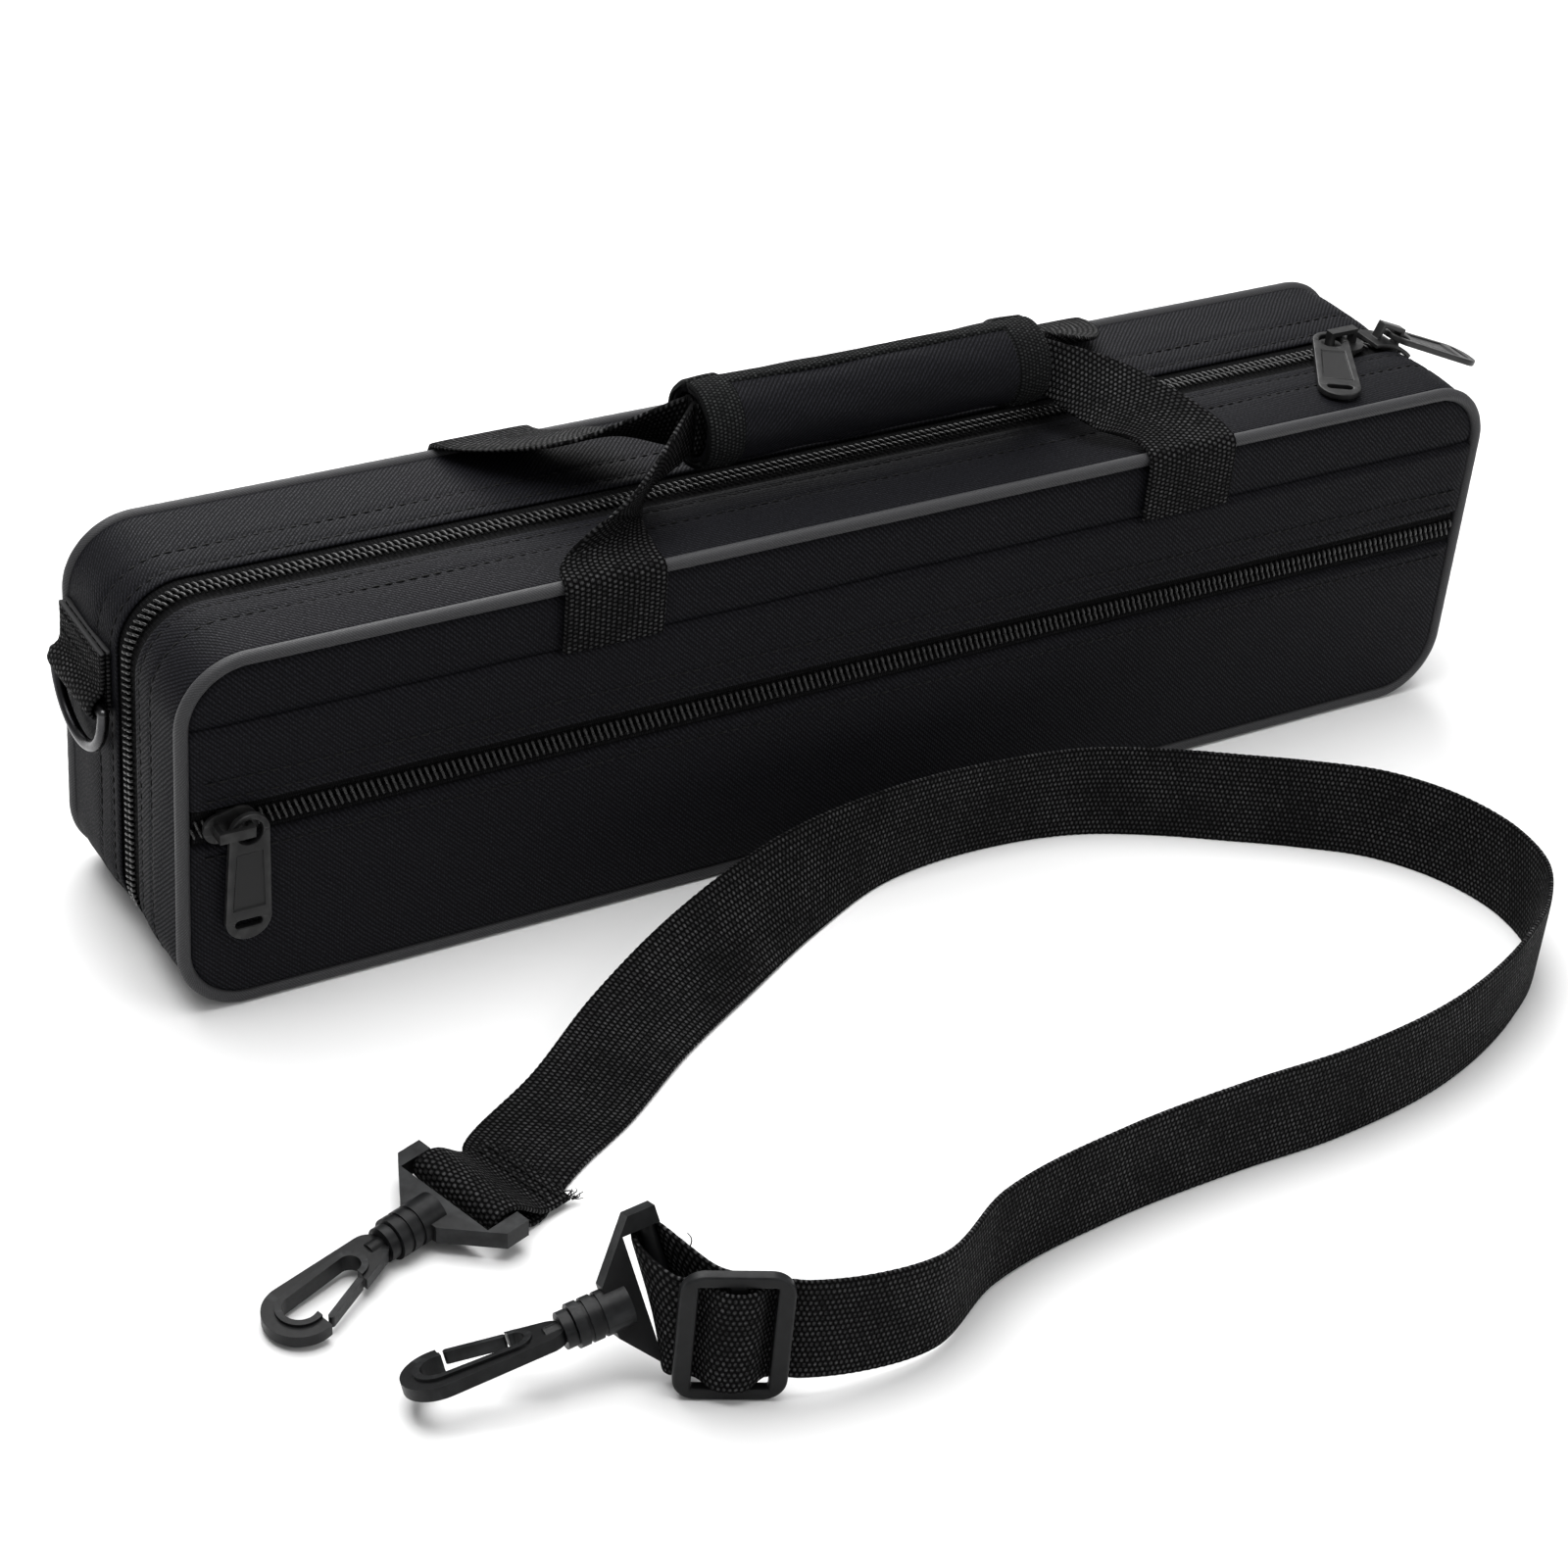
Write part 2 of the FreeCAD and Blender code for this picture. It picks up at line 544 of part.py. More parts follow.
def curved_slider(name):
    """The same slider bent round the top right corner. It turns about the corner's own axis."""
    sweep = math.degrees(value("slider_length / (corner_radius - band_inset)"))
    middle = value("corner_slider_angle")
    zero = "corner_radius - band_inset"
    under = zero + " - cloth - tape_thick - run_gap"

    def arc_plate(label, inner, outer, low, high, spread):
        """A strip bent round the corner, from one radius to another."""
        rings = []
        for word, radius, more in (("outer", outer, "0"), ("inner", inner, "overrun")):
            ring = rod("%s_%s" % (label, word), radius, "(%s) - (%s) + 2 * (%s)" % (high, low, more),
                       ("case_length / 2 - corner_radius", "(%s) - (%s)" % (low, more),
                        "case_height - corner_radius"), "y")
            rings.append(ring)
        # A sector starts a quarter turn past the top of the corner
        quarter = 90
        turn = Rotation(Vector(0, 1, 0), middle - spread / 2 - quarter)
        rings[0].Angle = spread
        rings[0].Placement = Placement(rings[0].Placement.Base, turn * TURNS["y"])
        return cut(label, rings[0], [rings[1]])

    cover = zero + " + run_gap + slider_plate"
    edge = "-slider_width / 2 - split_offset"
    pieces = [
        arc_plate(name + "_cover", zero + " + run_gap", cover, edge,
                  "slider_width / 2 - split_offset", sweep),
        arc_plate(name + "_sole", under + " - slider_plate", under, edge,
                  "slider_width / 2 - split_offset", sweep),
        arc_plate(name + "_wedge", under, zero + " + run_gap", "-slider_post / 2 - split_offset",
                  "slider_post / 2 - split_offset", sweep / 6),
    ]
    for sign, word in ((1, "right"), (-1, "left")):
        near = "(coil_half + run_gap) * %d - split_offset" % sign
        far = "(coil_half + run_gap + slider_rail) * %d - split_offset" % sign
        edges = [near, far][::sign]
        pieces.append(arc_plate("%s_rail_%s" % (name, word), zero + " - slider_rail",
                                zero + " + run_gap", edges[0], edges[1], sweep * 0.6))
    leg_inside = "crown_inside / 2"
    leg_outside = "crown_inside / 2 + crown_bar"
    rise = "run_gap + slider_plate + crown_rise"
    arch = box(name + "_arch", ("-(%s)" % leg_outside, "-crown_width / 2", "run_gap"),
               (leg_outside, "crown_width / 2", rise + " + crown_bar"))
    span = box(name + "_span", ("-(%s)" % leg_inside, "-crown_width / 2 - overrun", "-overrun"),
               (leg_inside, "crown_width / 2 + overrun", rise))
    bridge = cut(name + "_bridge", arch, [span])
    bridge.Placement = on_corner("0")
    pieces.append(bridge)
    keep(fuse(name, pieces))


def on_corner(height):
    """Where the corner slider's own frame lies: its X along the zip, its Z outwards."""
    angle = math.radians(value("corner_slider_angle"))
    reach = value("corner_radius - band_inset + " + height)
    base = Vector(value("case_length / 2 - corner_radius") + reach * math.sin(angle),
                  -value("split_offset"),
                  value("case_height - corner_radius") + reach * math.cos(angle))
    return Placement(base, Rotation(Vector(0, 1, 0), math.degrees(angle)))


def pull_tab(name, place):
    """A flat pull: a ring, a plate with a shallow panel on both sides, and a slot near its end.
    Its own X runs from the ring's middle to its end."""
    far = "pull_length - pull_end"
    neck = "pull_ring + overrun"
    panel_end = "%s - pull_slot / 2 - overrun" % far
    half = "pull_thick / 2"

    def draw_outside(sketch):
        add_link(sketch, "outside", ("0", "0"), "pull_ring", (far, "0"), "pull_end")

    def draw_eye(sketch):
        add_link(sketch, "eye", ("-run_gap", "0"), "pull_eye", ("run_gap", "0"), "pull_eye")

    def draw_panel(sketch):
        inner = "pull_ring - 2 * overrun"
        add_polygon(sketch, "panel", [
            (neck, "-(%s)" % inner), (panel_end, "-(pull_end - 2 * overrun)"),
            (panel_end, "pull_end - 2 * overrun"), (neck, inner)])

    def draw_slot(sketch):
        slot = "pull_slot / 4"
        across = "pull_end / 2 - %s / 2" % slot
        add_link(sketch, "slot", (far + " + " + slot, "-(%s)" % across), slot,
                 (far + " + " + slot, across), slot)

    blank = plate(name + "_blank", draw_outside, "-" + half, half)
    tools = [
        plate(name + "_eye", draw_eye, "-%s - overrun" % half, half + " + overrun"),
        plate(name + "_slot", draw_slot, "-%s - overrun" % half, half + " + overrun"),
        plate(name + "_panel_top", draw_panel, half + " - pull_recess", half + " + overrun"),
        plate(name + "_panel_sole", draw_panel, "-%s - overrun" % half, "pull_recess - " + half),
    ]
    pull = keep(cut(name, blank, tools))
    pull.Placement = place
    return pull


# Middle of a pull above the coil, when its ring lies round a leg of the bridge
PULL_RISE = "(run_gap + slider_plate + crown_rise / 2)"
# From the slider's middle to a leg of its bridge, and from that leg to the ring's middle
LEG = "(crown_inside / 2 + crown_bar / 2)"
RING_OFFSET = "crown_bar"


def zip_sliders():
    """Two sliders on the main zip and one on the pocket, each with its pull."""
    main_x = "case_length / 2 - main_slider_inset"
    straight_slider("main_slider", Placement(
        point(main_x, "-split_offset", "case_height - band_inset"), Rotation()))
    turn = Rotation(Vector(0, 0, 1), value("main_pull_turn"))
    leg = point(main_x + " - " + LEG, "-split_offset", "case_height - band_inset + " + PULL_RISE)
    reach = turn.multVec(Vector(value(RING_OFFSET), 0, 0))
    tilt = Rotation(Vector(0, 1, 0), value("pull_tilt"))
    pull_tab("main_pull", Placement(leg + reach, turn * tilt))

    curved_slider("corner_slider")
    place = on_corner(PULL_RISE)
    wire = (value("pull_ring") + value("pull_eye")) / 2
    pull_tab("corner_pull", Placement(
        place.Base + place.Rotation.multVec(Vector(wire, 0, 0)), place.Rotation))

    pocket_x = "pocket_slider_inset - case_length / 2"
    outwards = Rotation(Vector(1, 0, 0), 90)
    straight_slider("pocket_slider", Placement(
        point(pocket_x, "-" + FACE, "pocket_zip_height"), outwards))
    leg = point(pocket_x + " + " + LEG, "-%s - %s" % (FACE, PULL_RISE), "pocket_zip_height")
    down = outwards * Rotation(Vector(0, 0, 1), -90)
    reach = down.multVec(Vector(value(RING_OFFSET), 0, 0))
    pull_tab("pocket_pull", Placement(leg + reach, down * tilt))


def ribbon(stations):
    """Flat webbing through a row of stations: middle, half width, half thickness."""
    wires = []
    for middle, across, through in stations:
        corners = [middle + across + through, middle - across + through,
                   middle - across - through, middle + across - through]
        wires.append(Part.makePolygon(corners + corners[:1]))
    return Part.makeLoft(wires, True, True)


# Where a leg's two edges have got to, half way up to the grip, in X, Y and Z
LEG_FAR_EDGE_SHARES = (0.38, 0.77, 0.49)
LEG_NEAR_EDGE_SHARES = (0.56, 0.36, 0.46)


def handle_leg(name, anchor, end, side):
    """Webbing from its seam on one face, over the piping and up into the end of the grip.
    end is -1 at the grip's left end and 1 at its right end."""
    flat = value("web_thick") / 2
    outwards = Vector(0, side, 0)
    seam = "seam_height + sew_gap" if side == FRONT else "seam_height - back_anchor_drop"
    face = value(FACE + " + sew_gap + web_thick / 2")
    pipe = point(anchor, "(case_depth / 2 - pipe_diameter / 2) * %d" % side,
                 "case_height - pipe_diameter / 2")
    over_pipe = value("pipe_diameter / 2 + run_gap + web_thick / 2")
    across = Vector(end * value("web_width") / 2, 0, 0)
    start = Vector(pipe.x, side * face, value(seam))
    below = Vector(pipe.x, side * face, pipe.z - value("pipe_diameter") * 1.5)
    stations = [(start, across, outwards * flat), (below, across, outwards * flat)]
    for angle in (0, 45, 90):
        ray = outwards * math.cos(math.radians(angle)) + Vector(0, 0, math.sin(math.radians(angle)))
        stations.append((pipe + ray * over_pipe, across, ray * flat))
    top = stations[-1][0]
    grip_end = point("grip_x + (grip_length / 2 + sew_gap) * %d" % end,
                     "grip_y + (fold_gap + web_thick) * %d" % side, "grip_z")
    upright = Vector(0, 0, value("fold_width") / 2)
    edges = []
    for sign, shares in ((1, LEG_FAR_EDGE_SHARES), (-1, LEG_NEAR_EDGE_SHARES)):
        low, high = top + across * sign, grip_end + upright * sign
        edges.append(Vector(*(a + (b - a) * s for a, b, s in zip(low, high, shares))))
    half_way = (edges[0] + edges[1]) * 0.5
    half_across = (edges[0] - edges[1]) * 0.5
    face_way = outwards + Vector(0, 0, 1)
    unit = Vector(half_across).normalize()
    face_way = (face_way - unit * face_way.dot(unit)).normalize()
    stations.append((half_way, half_across, face_way * flat))
    stations.append((grip_end, upright, outwards * flat * 2))
    return keep(feature(name, ribbon(stations)))


def carrying_handle():
    """Four webbing legs, the two folded webs inside the grip, and the wrapped grip."""
    for word, side in (("front", FRONT), ("back", BACK)):
        handle_leg("handle_web_%s_left" % word, "anchor_left", -1, side)
        handle_leg("handle_web_%s_right" % word, "anchor_right", 1, side)
        middle = "(grip_y + (fold_gap + web_thick) * %d)" % side
        keep(box("handle_core_" + word,
                 ("grip_x - grip_length / 2", middle + " - web_thick", "grip_z - fold_width / 2"),
                 ("grip_x + grip_length / 2", middle + " + web_thick", "grip_z + fold_width / 2")))
    turns = (
        ("grip_pad", "flap_low + flap_gap / 2", "flap_high + 360 - flap_low - flap_gap"),
        ("grip_flap", "flap_high + flap_gap / 2", "flap_low - flap_high - flap_gap"),
    )
    for name, start, spread in turns:
        keep(grip_sector(name, "grip_radius - grip_wall", "grip_radius", start, spread,
                         "grip_x - grip_length / 2", "grip_length"))
        bands = []
        for word, left in (("left", "grip_x - grip_length / 2"),
                           ("right", "grip_x + grip_length / 2 - binding_width")):
            bands.append(grip_sector(
                "%s_binding_%s" % (name, word), "grip_radius", "grip_radius + binding_thick",
                start + " + binding_gap", spread + " - 2 * binding_gap", left, "binding_width"))
        keep(fuse(name + "_binding", bands))


def grip_sector(name, inside, outside, start, spread, left, length):
    """Part of a tube along the grip. Angles go from the back, over the top, to the front."""
    tubes = []
    for word, radius in (("outer", outside), ("inner", inside)):
        tube = rod("%s_%s" % (name, word), radius, length, (left, "grip_y", "grip_z"), "x")
        tubes.append(tube)
    tubes[0].Placement = Placement(tubes[0].Placement.Base, sector_turn(value(start)))
    tubes[0].setExpression("Angle", bound(spread))
    return cut(name, tubes[0], [tubes[1]])


def sector_turn(start):
    """Turns a cylinder's axis to +X and its first edge to an angle from +Y towards +Z."""
    to_x_axis = Rotation(Vector(0, 1, 0), 90)
    # After that turn the cylinder's own X points down and its own Y along +Y
    own = to_x_axis.inverted().multVec(Vector(0, math.cos(math.radians(start)),
                                              math.sin(math.radians(start))))
    return to_x_axis * Rotation(Vector(0, 0, 1), math.degrees(math.atan2(own.y, own.x)))


def ring_and_tab(word, side):
    """A D-ring that hangs at one end of the case, and the webbing tab that is sewn round it."""
    loop = "(ring_wire / 2 + run_gap + web_thick)"
    axis_x = "(case_length / 2 - band_inset + sew_gap + %s) * %d" % (loop, side)
    inner_x = "(case_length / 2 - band_inset + sew_gap) * %d" % side
    outer_x = "(case_length / 2 - band_inset + sew_gap + 2 * web_thick) * %d" % side
    near_y = "ring_y - web_width / 2"
    faces = [inner_x, outer_x][::side]
    wrap = rod("tab_wrap_" + word, loop, "web_width", (axis_x, near_y, "ring_height"), "y")
    flat = box("tab_flat_" + word, (faces[0], near_y, "ring_height"),
               (faces[1], "ring_y + web_width / 2", "ring_height + tab_length"))
    bore = rod("tab_bore_" + word, "ring_wire / 2 + run_gap", "web_width + 2 * overrun",
               (axis_x, near_y + " - overrun", "ring_height"), "y")
    keep(cut("ring_tab_" + word, fuse("tab_whole_" + word, [wrap, flat]), [bore]))

    bow_radius = "(ring_inside / 2 + ring_wire / 2)"
    bow = doc.addObject("Part::Torus", "ring_bow_" + word)
    # The torus lies in the plane of Y and Z, and half of it hangs below the bar
    bow.Placement = Placement(Vector(), Rotation(Vector(0, 1, 0), 90) * Rotation(Vector(0, 0, 1), -90))
    bow.Angle3 = 180
    bow.setExpression("Radius1", bound(bow_radius))
    bow.setExpression("Radius2", bound("ring_wire / 2"))
    for letter, text in zip("xyz", (axis_x, "ring_y", "ring_height")):
        bow.setExpression("Placement.Base." + letter, bound(text))
    bar = rod("ring_bar_" + word, "ring_wire / 2", "2 * " + bow_radius,
              (axis_x, "ring_y - " + bow_radius, "ring_height"), "y")
    corners = []
    for index, sign in enumerate((1, -1)):
        ball = doc.addObject("Part::Sphere", "ring_corner_%s%d" % (word, index))
        ball.setExpression("Radius", bound("ring_wire / 2"))
        for letter, text in zip("xyz", (axis_x, "ring_y + %s * %d" % (bow_radius, sign),
                                        "ring_height")):
            ball.setExpression("Placement.Base." + letter, bound(text))
        corners.append(ball)
    keep(fuse("d_ring_" + word, [bow, bar] + corners))


# Along a hook's own X, from the middle of the bar that the strap is folded round
PLATE_START = "(hook_bar / 2 + hook_slot)"
PLATE_END = "(hook_bar / 2 + hook_slot + plate_length)"
BARREL_START = "(hook_bar / 2 + hook_slot + barrel_inset)"
BARREL_END = "(hook_bar / 2 + hook_slot + barrel_inset + barrel_length)"
COLLAR_END = "(%s + run_gap + collar_length)" % BARREL_END
HOOK_TIP = "(%s + hook_length)" % BARREL_END
EYE_END = "(%s - hook_end)" % HOOK_TIP
NECK = "(%s + hook_neck - overrun)" % COLLAR_END


def hook_base(name, place):
    """The moulded base of a hook: the strap's bar between two wings, a plate and the barrel."""
    half = "hook_span / 2"
    inside = "hook_span / 2 - hook_wing"

    def draw(sketch):
        add_polygon(sketch, "base", [
            ("-hook_bar / 2 - overrun", half), ("hook_bar", half),
            (PLATE_END, "barrel_radius + overrun"), (PLATE_END, "-barrel_radius - overrun"),
            ("hook_bar", "-(%s)" % half), ("-hook_bar / 2 - overrun", "-(%s)" % half),
            ("-hook_bar / 2 - overrun", "-(%s)" % inside), (PLATE_START, "-(%s)" % inside),
            (PLATE_START, inside), ("-hook_bar / 2 - overrun", inside)])

    frame = plate(name + "_frame", draw, "-hook_plate / 2", "hook_plate / 2")
    bar = rod(name + "_bar", "hook_bar / 2", "2 * (%s)" % inside, ("0", "-(%s)" % inside, "0"), "y")
    barrel = rod(name + "_barrel", "barrel_radius", "barrel_length", (BARREL_START, "0", "0"), "x")
    seat = BARREL_END + " - barrel_seat"
    tools = [
        rod(name + "_bore", "pin_radius + run_gap", "barrel_seat + overrun", (seat, "0", "0"), "x"),
        rod(name + "_chamber", "pin_head + run_gap", "head_length + 2 * run_gap",
            (seat + " - head_length - run_gap", "0", "0"), "x"),
    ]
    for step in (1, 2):
        start = BARREL_END + " - %d * barrel_length / 4" % step
        band = rod("%s_band%d" % (name, step), "barrel_radius + overrun", "barrel_groove * 2",
                   (start, "0", "0"), "x")
        core = rod("%s_band_core%d" % (name, step), "barrel_radius - barrel_groove",
                   "barrel_groove * 2 + 2 * overrun", (start + " - overrun", "0", "0"), "x")
        tools.append(cut("%s_groove%d" % (name, step), band, [core]))
    whole = fuse(name + "_whole", [frame, bar, barrel])
    base = keep(cut(name, whole, tools))
    base.Placement = place


def swivel_hook(name, place):
    """The open hook with its collar and the headed pin that turns in the barrel."""
    seat = BARREL_END + " - barrel_seat"
    # The eye runs from behind the neck into the round end, and leans with it
    neck = (NECK, "0")
    end = (EYE_END, "hook_lean")
    eye_start = (NECK + " + hook_neck + hook_eye / 2", "hook_lean / 3")
    small_eye = "hook_eye * 2 / 3"
    lip = "(hook_end - hook_eye - hook_rim)"

    def draw_blade(sketch):
        add_link(sketch, "outside", neck, "hook_neck", end, "hook_end")
        add_link(sketch, "eye", eye_start, small_eye, end, "hook_eye")

    def draw_lip(sketch):
        add_link(sketch, "outside", eye_start, "%s + %s" % (small_eye, lip), end, "hook_eye + " + lip)
        add_link(sketch, "eye", eye_start, small_eye, end, "hook_eye")

    mouth_start = "(%s)" % eye_start[0]
    mouth_end = "(%s - hook_eye / 2)" % EYE_END
    blade = fuse(name + "_plates", [
        plate(name + "_blade", draw_blade, "-hook_blade / 2", "hook_blade / 2"),
        plate(name + "_lip", draw_lip, "-hook_lip / 2", "hook_lip / 2"),
    ])
    mouth = box(name + "_mouth", (mouth_start, "hook_lean * 2 / 3", "-hook_lip"),
                (mouth_end, "2 * hook_end", "hook_lip"))
    pieces = [cut(name + "_open", blade, [mouth])]
    turned_parts = (
        ("collar", "collar_radius", "collar_length", BARREL_END + " + run_gap"),
        ("neck", "hook_lip / 2", "hook_neck", COLLAR_END + " - overrun"),
        ("pin", "pin_radius", "barrel_seat + 2 * run_gap", seat + " - run_gap / 2"),
        ("head", "pin_head", "head_length", seat + " - head_length - run_gap / 2"),
    )
    for word, radius, length, start in turned_parts:
        pieces.append(rod("%s_%s" % (name, word), radius, length, (start, "0", "0"), "x"))
    hook = keep(fuse(name, pieces))
    hook.Placement = place


def gate_line():
    """The line that the gate lies on: the hook's outer edge on the mouth's side, moved inwards."""
    x1, y1, r1 = value(NECK), 0.0, value("hook_neck")
    x2, y2, r2 = value(EYE_END), value("hook_lean"), value("hook_end")
    heading = math.atan2(y2 - y1, x2 - x1)
    outer = heading + math.acos((r1 - r2) / math.hypot(x2 - x1, y2 - y1))
    normal = Vector(math.cos(outer), math.sin(outer), 0)
    edge = Vector(x2, y2, 0) + normal * (r2 - value("gate_thick"))
    return edge, Vector(normal.y, -normal.x, 0)


def gate_point(x):
    """The point of the gate's line at one place along the hook."""
    edge, along = gate_line()
    return edge + along * ((x - edge.x) / along.x)


def hook_gate(name, place):
    """The sprung leaf that closes the hook's mouth."""
    radius = "gate_thick / 2"
    clear = value(radius + " + run_gap")
    low = gate_point(value(NECK + " + hook_neck + hook_eye / 2") + clear)
    high = gate_point(value("%s - hook_eye / 2" % EYE_END) - clear)
    # The leaf is longest along the hook when it swings level, and clears the mouth's end there
    length = high.x - low.x
    under = Vector(0, 0, -value("hook_blade / 2"))
    leaf_low = Part.makeCylinder(value(radius), value("hook_blade"), under)
    leaf_high = leaf_low.translated(Vector(length, 0, 0))
    leaf = Part.makeBox(length, value("gate_thick"), value("hook_blade"),
                        under - Vector(0, value(radius), 0))
    shape = leaf.fuse([leaf_low, leaf_high]).removeSplitter()
    gate = keep(feature(name, shape))
    turn = math.degrees(math.atan2(high.y - low.y, high.x - low.x))
    gate.Placement = place * Placement(low, Rotation(Vector(0, 0, 1), turn))


def strap_adjuster(place):
    """A three-bar slider for the strap: a flat frame with two windows. Its X runs along the strap."""
    half_width = "glide_width / 2"
    half_length = "glide_length / 2"
    outer = box("glide_blank", ("-" + half_width, "-" + half_length, "-glide_thick / 2"),
                (half_width, half_length, "glide_thick / 2"))
    rounded = doc.addObject("Part::Fillet", "glide_round")
    rounded.Base = outer
    doc.recompute()
    edges = [index for index, edge in enumerate(outer.Shape.Edges, 1)
             if abs(edge.tangentAt(edge.FirstParameter).z) > 0.9]
    radius = value("glide_corner")
    rounded.Edges = [(index, radius, radius) for index in edges]
    windows = []
    window_half = "(%s - glide_end)" % half_length
    for word, low, high in (
            ("left", "glide_bar - " + half_width, "-glide_bar / 2"),
            ("right", "glide_bar / 2", half_width + " - glide_bar")):
        windows.append(box("glide_window_" + word, (low, "-" + window_half, "-glide_thick"),
                           (high, window_half, "glide_thick")))
    glide = keep(cut("strap_adjuster", rounded, windows))
    glide.Placement = place


# The first hook's bar and the second's, the hooks' headings and dips, and the adjuster's middle
FIRST_BAR = Vector(-176.9, -140.1, 7.1)
FIRST_HEADING = 196
FIRST_DIP = 3.5
SECOND_BAR = Vector(-157, -204.5, 21.6)
SECOND_HEADING = 177
SECOND_DIP = 11
SECOND_ROLL = -62
SECOND_HOOK_ROLL = -98
ADJUSTER = Vector(-149.5, -224, 19.2)
ADJUSTER_HEADING = -26

# The strap lies free, so its route stays as it was chosen. The turned end at the first hook:
# distance from the bar along the strap, and height
TURNED_END = ((22, 2.55), (15, 2.6))
LEAVING_BAR = ((5, 2.4),)
# The strap's lower edge on the floor, away from the first hook: X, Y, tilt from flat, lift
STRAP_ROUTE = (
    (-165.1, -152.3, 0, 0), (-150, -142.5, 0, 0), (-122, -126, 4, 0), (-96.6, -108.5, 14, 0),
    (-66, -91, 34, 0), (-37.8, -75.3, 60, 0), (-4.1, -61, 84, 0), (29.5, -58.5, 90, 0),
    (59.2, -63.6, 90, 0), (80.7, -73.5, 90, 0), (98, -84, 90, 0), (115.3, -95, 90, 0),
    (132.9, -108.8, 90, 0), (145, -128, 90, 0), (149, -147, 90, 0), (146, -163, 90, 0),
    (135.9, -176, 90, 0), (119.3, -187.2, 90, 0), (87.1, -200.9, 90, 0), (42.5, -208, 90, 0),
    (8.7, -208, 90, 0), (-30, -210, 90, 0), (-71.7, -218, 90, 0.5), (-98.7, -232, 90, 1.5),
    (-117, -232.5, 90, 2.8),
)
# Through the adjuster: along it, and out of it towards the near side
ADJUSTER_ROUTE = (
    (17, -2.4), (8, -2.4), (3.3, 2.4), (-3.3, 2.4), (-8, -2.4), (-14, -3.2),
)
# Back from the second bar to the adjuster: along it, out of it, and share of the bar's lean
RETURN_ROUTE = ((-8, -10, 0.5), (-4.5, -6.4, 0.15), (4, -4.3, 0), (10, -4.3, 0))


def bend_round(middle, radius, start, finish, steps):
    """Points round a bar in steps of one angle, as pairs in the plane across the bar."""
    angles = [math.radians(start + (finish - start) * step / steps) for step in range(steps + 1)]
    return [(middle[0] + radius * math.cos(a), middle[1] + radius * math.sin(a)) for a in angles]


def unit_at(angle):
    """The level direction at an angle from +X."""
    return Vector(math.cos(math.radians(angle)), math.sin(math.radians(angle)), 0)


def turned_end(bend_radius):
    """The strap's sewn end, lying on the strap, up and round the first hook's bar."""
    along = unit_at(FIRST_HEADING + 180)
    aside = Vector(-along.y, along.x, 0)
    over, under = 70, 290
    path = list(TURNED_END)
    path += bend_round((0, FIRST_BAR.z), bend_radius, over, under, 5)
    path += LEAVING_BAR
    level = Vector(FIRST_BAR.x, FIRST_BAR.y, 0)
    return [(level + along * s + Vector(0, 0, z), aside * -1) for s, z in path]


def lying_run():
    """The strap on the floor, from flat at the first hook to on edge in the bend."""
    half_width = value("web_width / 2")
    half_thick = value("web_thick / 2")
    places = [Vector(x, y, 0) for x, y, tilt, lift in STRAP_ROUTE]
    run = []
    for index, (x, y, tilt, lift) in enumerate(STRAP_ROUTE):
        ahead = places[min(index + 1, len(places) - 1)] - places[max(index - 1, 0)]
        ahead.normalize()
        lean = math.radians(tilt)
        across = Vector(-ahead.y, ahead.x, 0) * math.cos(lean) + Vector(0, 0, math.sin(lean))
        rise = half_thick * math.cos(lean) + value("sew_gap") + lift
        run.append((Vector(x, y, rise) + across * half_width, across))
    return run


def adjusted_end(bend_radius, hook_turn):
    """The strap woven through the adjuster, round the second hook's bar and back behind it."""
    along = unit_at(ADJUSTER_HEADING)
    near = Vector(along.y, -along.x, 0)
    upright = Vector(0, 0, 1)
    bar_way = hook_turn.multVec(Vector(0, -1, 0))
    run = [(ADJUSTER + along * s + near * n, upright) for s, n in ADJUSTER_ROUTE]
    arriving, leaving = -20, -200
    for u, w in bend_round((0, 0), bend_radius, arriving, leaving, 4):
        run.append((SECOND_BAR + hook_turn.multVec(Vector(u, 0, w)), bar_way))
    lift = upright * (SECOND_BAR.z - ADJUSTER.z)
    for s, n, share in RETURN_ROUTE:
        across = (upright * (1 - share) + bar_way * share).normalize()
        run.append((ADJUSTER + along * s + near * n + lift * share, across))
    return run


